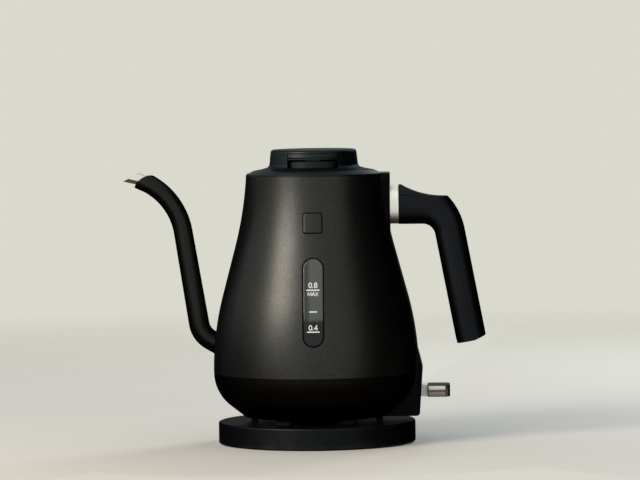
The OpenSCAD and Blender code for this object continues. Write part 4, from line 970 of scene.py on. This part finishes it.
GLYPHS = {  # width, open strokes, closed strokes, in units of the glyph's height
    "0": (0.58, [], [oval(0.29, 0.5, 0.24, 0.44)]),
    "8": (0.58, [], [oval(0.29, 0.735, 0.20, 0.205), oval(0.29, 0.28, 0.235, 0.225)]),
    "4": (0.62, [[(0.45, 0.0), (0.45, 0.95), (0.05, 0.30), (0.62, 0.30)]], []),
    ".": (0.34, [[(0.13, 0.0), (0.13, 0.15)]], []),
    "M": (0.86, [[(0.08, 0.0), (0.08, 0.95), (0.43, 0.25), (0.78, 0.95), (0.78, 0.0)]], []),
    "A": (0.76, [[(0.04, 0.0), (0.38, 0.95), (0.72, 0.0)], [(0.17, 0.30), (0.59, 0.30)]], []),
    "X": (0.72, [[(0.06, 0.0), (0.66, 0.95)], [(0.06, 0.95), (0.66, 0.0)]], []),
}


def ribbon(path, width, closed):
    """A flat stroke of that width along a path: pairs of points either side of it."""
    n = len(path)
    sides = []
    for i, (x, y) in enumerate(path):
        before = path[(i - 1) % n] if closed or i else path[i]
        after = path[(i + 1) % n] if closed or i < n - 1 else path[i]
        a = Vector((x - before[0], y - before[1]))
        b = Vector((after[0] - x, after[1] - y))
        a = a.normalized() if a.length > 0 else b.normalized()
        b = b.normalized() if b.length > 0 else a
        across = Vector((-(a.y + b.y), a.x + b.x))
        across = across.normalized() if across.length > 1e-6 else Vector((-a.y, a.x))
        reach = width / 2 / max(0.45, abs(across.dot(Vector((-a.y, a.x)))))
        sides.append((moved((x, y), across, reach), moved((x, y), across, -reach)))
    return sides


INK_LOW, INK_TOP = 0.01 * MM, 0.07 * MM  # how far the ink's two sides stand off the window


def make_marks(lens):
    """The water marks, printed on the window's face."""
    points, faces = [], []

    def laid(x, z, lift):
        """The point that stands off the window's face by lift."""
        hit = lens.ray_cast(Vector((AXIS_X + x, -0.2, z)), Vector((0, 1, 0)))[0]
        return Vector((AXIS_X + x, hit.y - lift, z))

    def stroke(path, width, closed=False):
        """Lays one stroke of ink along a path of (x, z) points."""
        if not closed and len(path) == 2:
            path = [between(*path, s) for s in steps(0, 1, 6)]
        first = len(points)
        sides = ribbon(path, width, closed)
        for left, right in sides:
            corners = ((left, INK_LOW), (left, INK_TOP), (right, INK_TOP), (right, INK_LOW))
            points.extend(laid(*spot, lift) for spot, lift in corners)
        count = len(sides)
        for j in range(count if closed else count - 1):
            for i in range(4):
                a, b = first + j * 4, first + (j + 1) % count * 4
                faces.append((a + i, a + (i + 1) % 4, b + (i + 1) % 4, b + i))
        if not closed:
            faces.append(tuple(first + i for i in range(4)))
            faces.append(tuple(first + (count - 1) * 4 + i for i in range(4)))

    def write(text, low_z, tall, wide, width):
        """Writes text with its foot at low_z, as tall and as wide as given, with strokes of that width."""
        whole = sum(GLYPHS[c][0] for c in text)
        x, gain = -wide / 2, wide / whole
        for c in text:
            advance, open_paths, closed_paths = GLYPHS[c]
            for paths, closed in ((open_paths, False), (closed_paths, True)):
                for path in paths:
                    stroke([(x + px * gain, low_z + py * tall) for px, py in path], width, closed)
            x += advance * gain

    for text, low_z, tall, wide, width in (("0.8", 120.1, 3.9, 6.5, 0.62), ("MAX", 114.3, 2.85, 8.0, 0.46),
                                           ("0.4", 89.2, 3.9, 6.6, 0.62)):
        write(text, low_z * MM, tall * MM, wide * MM, width * MM)
    for z, wide, width in ((118.5, 9.6, 0.8), (102.7, 5.7, 0.85), (88.0, 9.3, 0.8)):
        stroke([(-wide / 2 * MM, z * MM), (wide / 2 * MM, z * MM)], width * MM)
    mesh_piece("water_marks", (points, faces), "kettle", "mark_print")


make_body_skin()
make_badge()
make_collar()
make_lid()
make_sleeve()
make_spout_tube()
make_handle()
make_paddle()
make_marks(make_window())

# ---------------------------------------------------------------- stage
LAMP_AIM_Z, FLOOR_FADE = 0.11, (0.35, 1.5)
def softbox(name, azimuth, elevation, distance, size, power, colour):
    """A rectangular lamp of that size, turned to the kettle and unseen by the camera."""
    lamp = bpy.data.lights.new(name, "AREA")
    lamp.shape, (lamp.size, lamp.size_y) = "RECTANGLE", size
    lamp.energy, lamp.color = power, colour
    obj = in_scene(name, lamp)
    a, e = math.radians(azimuth), math.radians(elevation)
    back = Vector((math.sin(a) * math.cos(e), -math.cos(a) * math.cos(e), math.sin(e)))
    obj.location = Vector((AXIS_X, 0, LAMP_AIM_Z)) + back * distance
    obj.rotation_mode = "QUATERNION"
    obj.rotation_quaternion = back.to_track_quat("Z", "Y")
    obj.visible_camera = False


softbox("key_light", -44, 30, 1.5, (0.55, 0.75), 17.8, (1.0, 0.87, 0.74))
softbox("left_fill", -118, 18, 1.2, (0.7, 1.0), 1.2, (0.82, 0.91, 1.0))
softbox("back_light", 148, 30, 1.2, (0.4, 0.6), 6, (0.92, 0.96, 1.0))


def make_world():
    """A pale background, which lights the kettle dimmer than the camera and what it reflects see it."""
    world = bpy.data.worlds.new("studio")
    world.use_nodes = True
    tree = world.node_tree
    tree.nodes.clear()
    path = add(tree, "ShaderNodeLightPath").outputs
    seen = maths(tree, "MAXIMUM", maths(tree, "MAXIMUM", path["Is Camera Ray"], path["Is Glossy Ray"]),
                 path["Is Transmission Ray"])
    pale = add(tree, "ShaderNodeBackground", {"Color": srgb(218, 217, 205), "Strength": 1.0})
    dim = add(tree, "ShaderNodeBackground", {"Color": (0.94, 0.97, 1.0, 1.0), "Strength": 0.6})
    both = add(tree, "ShaderNodeMixShader", {0: seen, 1: dim.outputs[0], 2: pale.outputs[0]})
    out = add(tree, "ShaderNodeOutputWorld")
    tree.links.new(both.outputs[0], out.inputs["Surface"])
    bpy.context.scene.world = world


def stage_mesh(name, shape, cloth, colour, scale, spread, rough, specular):
    """An object of the stage in a plain, slowly uneven tone. Returns it, its node tree and its shader."""
    points, faces = shape
    mesh = bpy.data.meshes.new(name)
    mesh.from_pydata(points, [], faces)
    material, tree, shader = new_material(cloth, Roughness=rough, Specular_IOR_Level=specular)
    link(tree, shader, Base_Color=use(tree, TONE, Colour=colour, Scale=scale, Spread=spread)["Colour"])
    mesh.materials.append(material)
    return in_scene(name, mesh), tree, shader


def make_floor(rim=1.6, count=12, sides=96):
    """A pale round floor that fades out into the background."""
    radii = [rim * j / count for j in range(1, count + 1)]
    rings = [[(AXIS_X + r * math.cos(a), r * math.sin(a), 0) for a in round_angles(sides)] for r in radii]
    floor, tree, shader = stage_mesh("floor", skin(rings, caps=(0,)), "pale_floor", srgb(204, 203, 196),
                                     5.0, 0.06, 0.7, 0.2)
    away = add(tree, "ShaderNodeVectorMath", {0: place(tree)}, operation="LENGTH").outputs["Value"]
    link(tree, shader, Alpha=ramp(tree, away, *FLOOR_FADE, 1.0, 0.0))


def make_screen(name, first, last, colour, line):
    """A dark screen seen only in what the kettle reflects: (radius, height) pairs swept round it."""
    turns = steps(math.radians(first), math.radians(last), 16)
    size = len(turns)
    points = [(AXIS_X + r * math.sin(a), -r * math.cos(a), h) for r, h in line for a in turns]
    faces = [(j * size + i, j * size + i + 1, (j + 1) * size + i + 1, (j + 1) * size + i)
             for j in range(len(line) - 1) for i in range(size - 1)]
    screen = stage_mesh(name, (points, faces), name + "_cloth", colour, 4.0, 0.2, 0.95, 0.1)[0]
    screen.visible_camera = screen.visible_diffuse = screen.visible_shadow = False


def make_camera():
    """A long lens far off, a little to the right and rolled slightly."""
    lens, sensor, away, height = 258.75, 36.0, 3.45, 0.33
    azimuth, roll = math.radians(1.5), math.radians(0.785)
    data = bpy.data.cameras.new("camera")
    data.lens, data.sensor_width = lens, sensor
    data.clip_start, data.clip_end = 0.1, 50
    camera = in_scene("camera", data)
    camera.location = (AXIS_X + away * math.sin(azimuth), -away * math.cos(azimuth), height)
    aim = Vector((AXIS_X + 0.004, 0.0, 0.152))
    look = (aim - camera.location).to_track_quat("-Z", "Y").to_matrix()
    camera.rotation_mode = "QUATERNION"
    camera.rotation_quaternion = (look @ Matrix.Rotation(-roll, 3, "Z")).to_quaternion()
    bpy.context.scene.camera = camera


make_world()
make_floor()
SCREEN_CLOTH, SCREEN_R = srgb(30, 30, 32), 1.3
MAT_CLOTH, MAT_Z = srgb(74, 62, 54), 0.001
make_screen("shade_screen", 52, 160, SCREEN_CLOTH, [(SCREEN_R, h) for h in (0.002, 0.5, 1.0, 1.6)])
make_screen("low_screen_left", -172, -62, SCREEN_CLOTH, [(SCREEN_R, h) for h in (0.002, 0.24)])
make_screen("dark_mat_right", 38, 172, MAT_CLOTH, [(r, MAT_Z) for r in (0.078, 0.4, SCREEN_R)])
make_screen("dark_mat_left", -172, -36, MAT_CLOTH, [(r, MAT_Z) for r in (0.078, 0.4, SCREEN_R)])
make_screen("dark_mat_front", -36, 38, MAT_CLOTH, [(r, MAT_Z) for r in (0.08, 0.26)])
make_camera()
bpy.context.scene.view_settings.view_transform = "Standard"
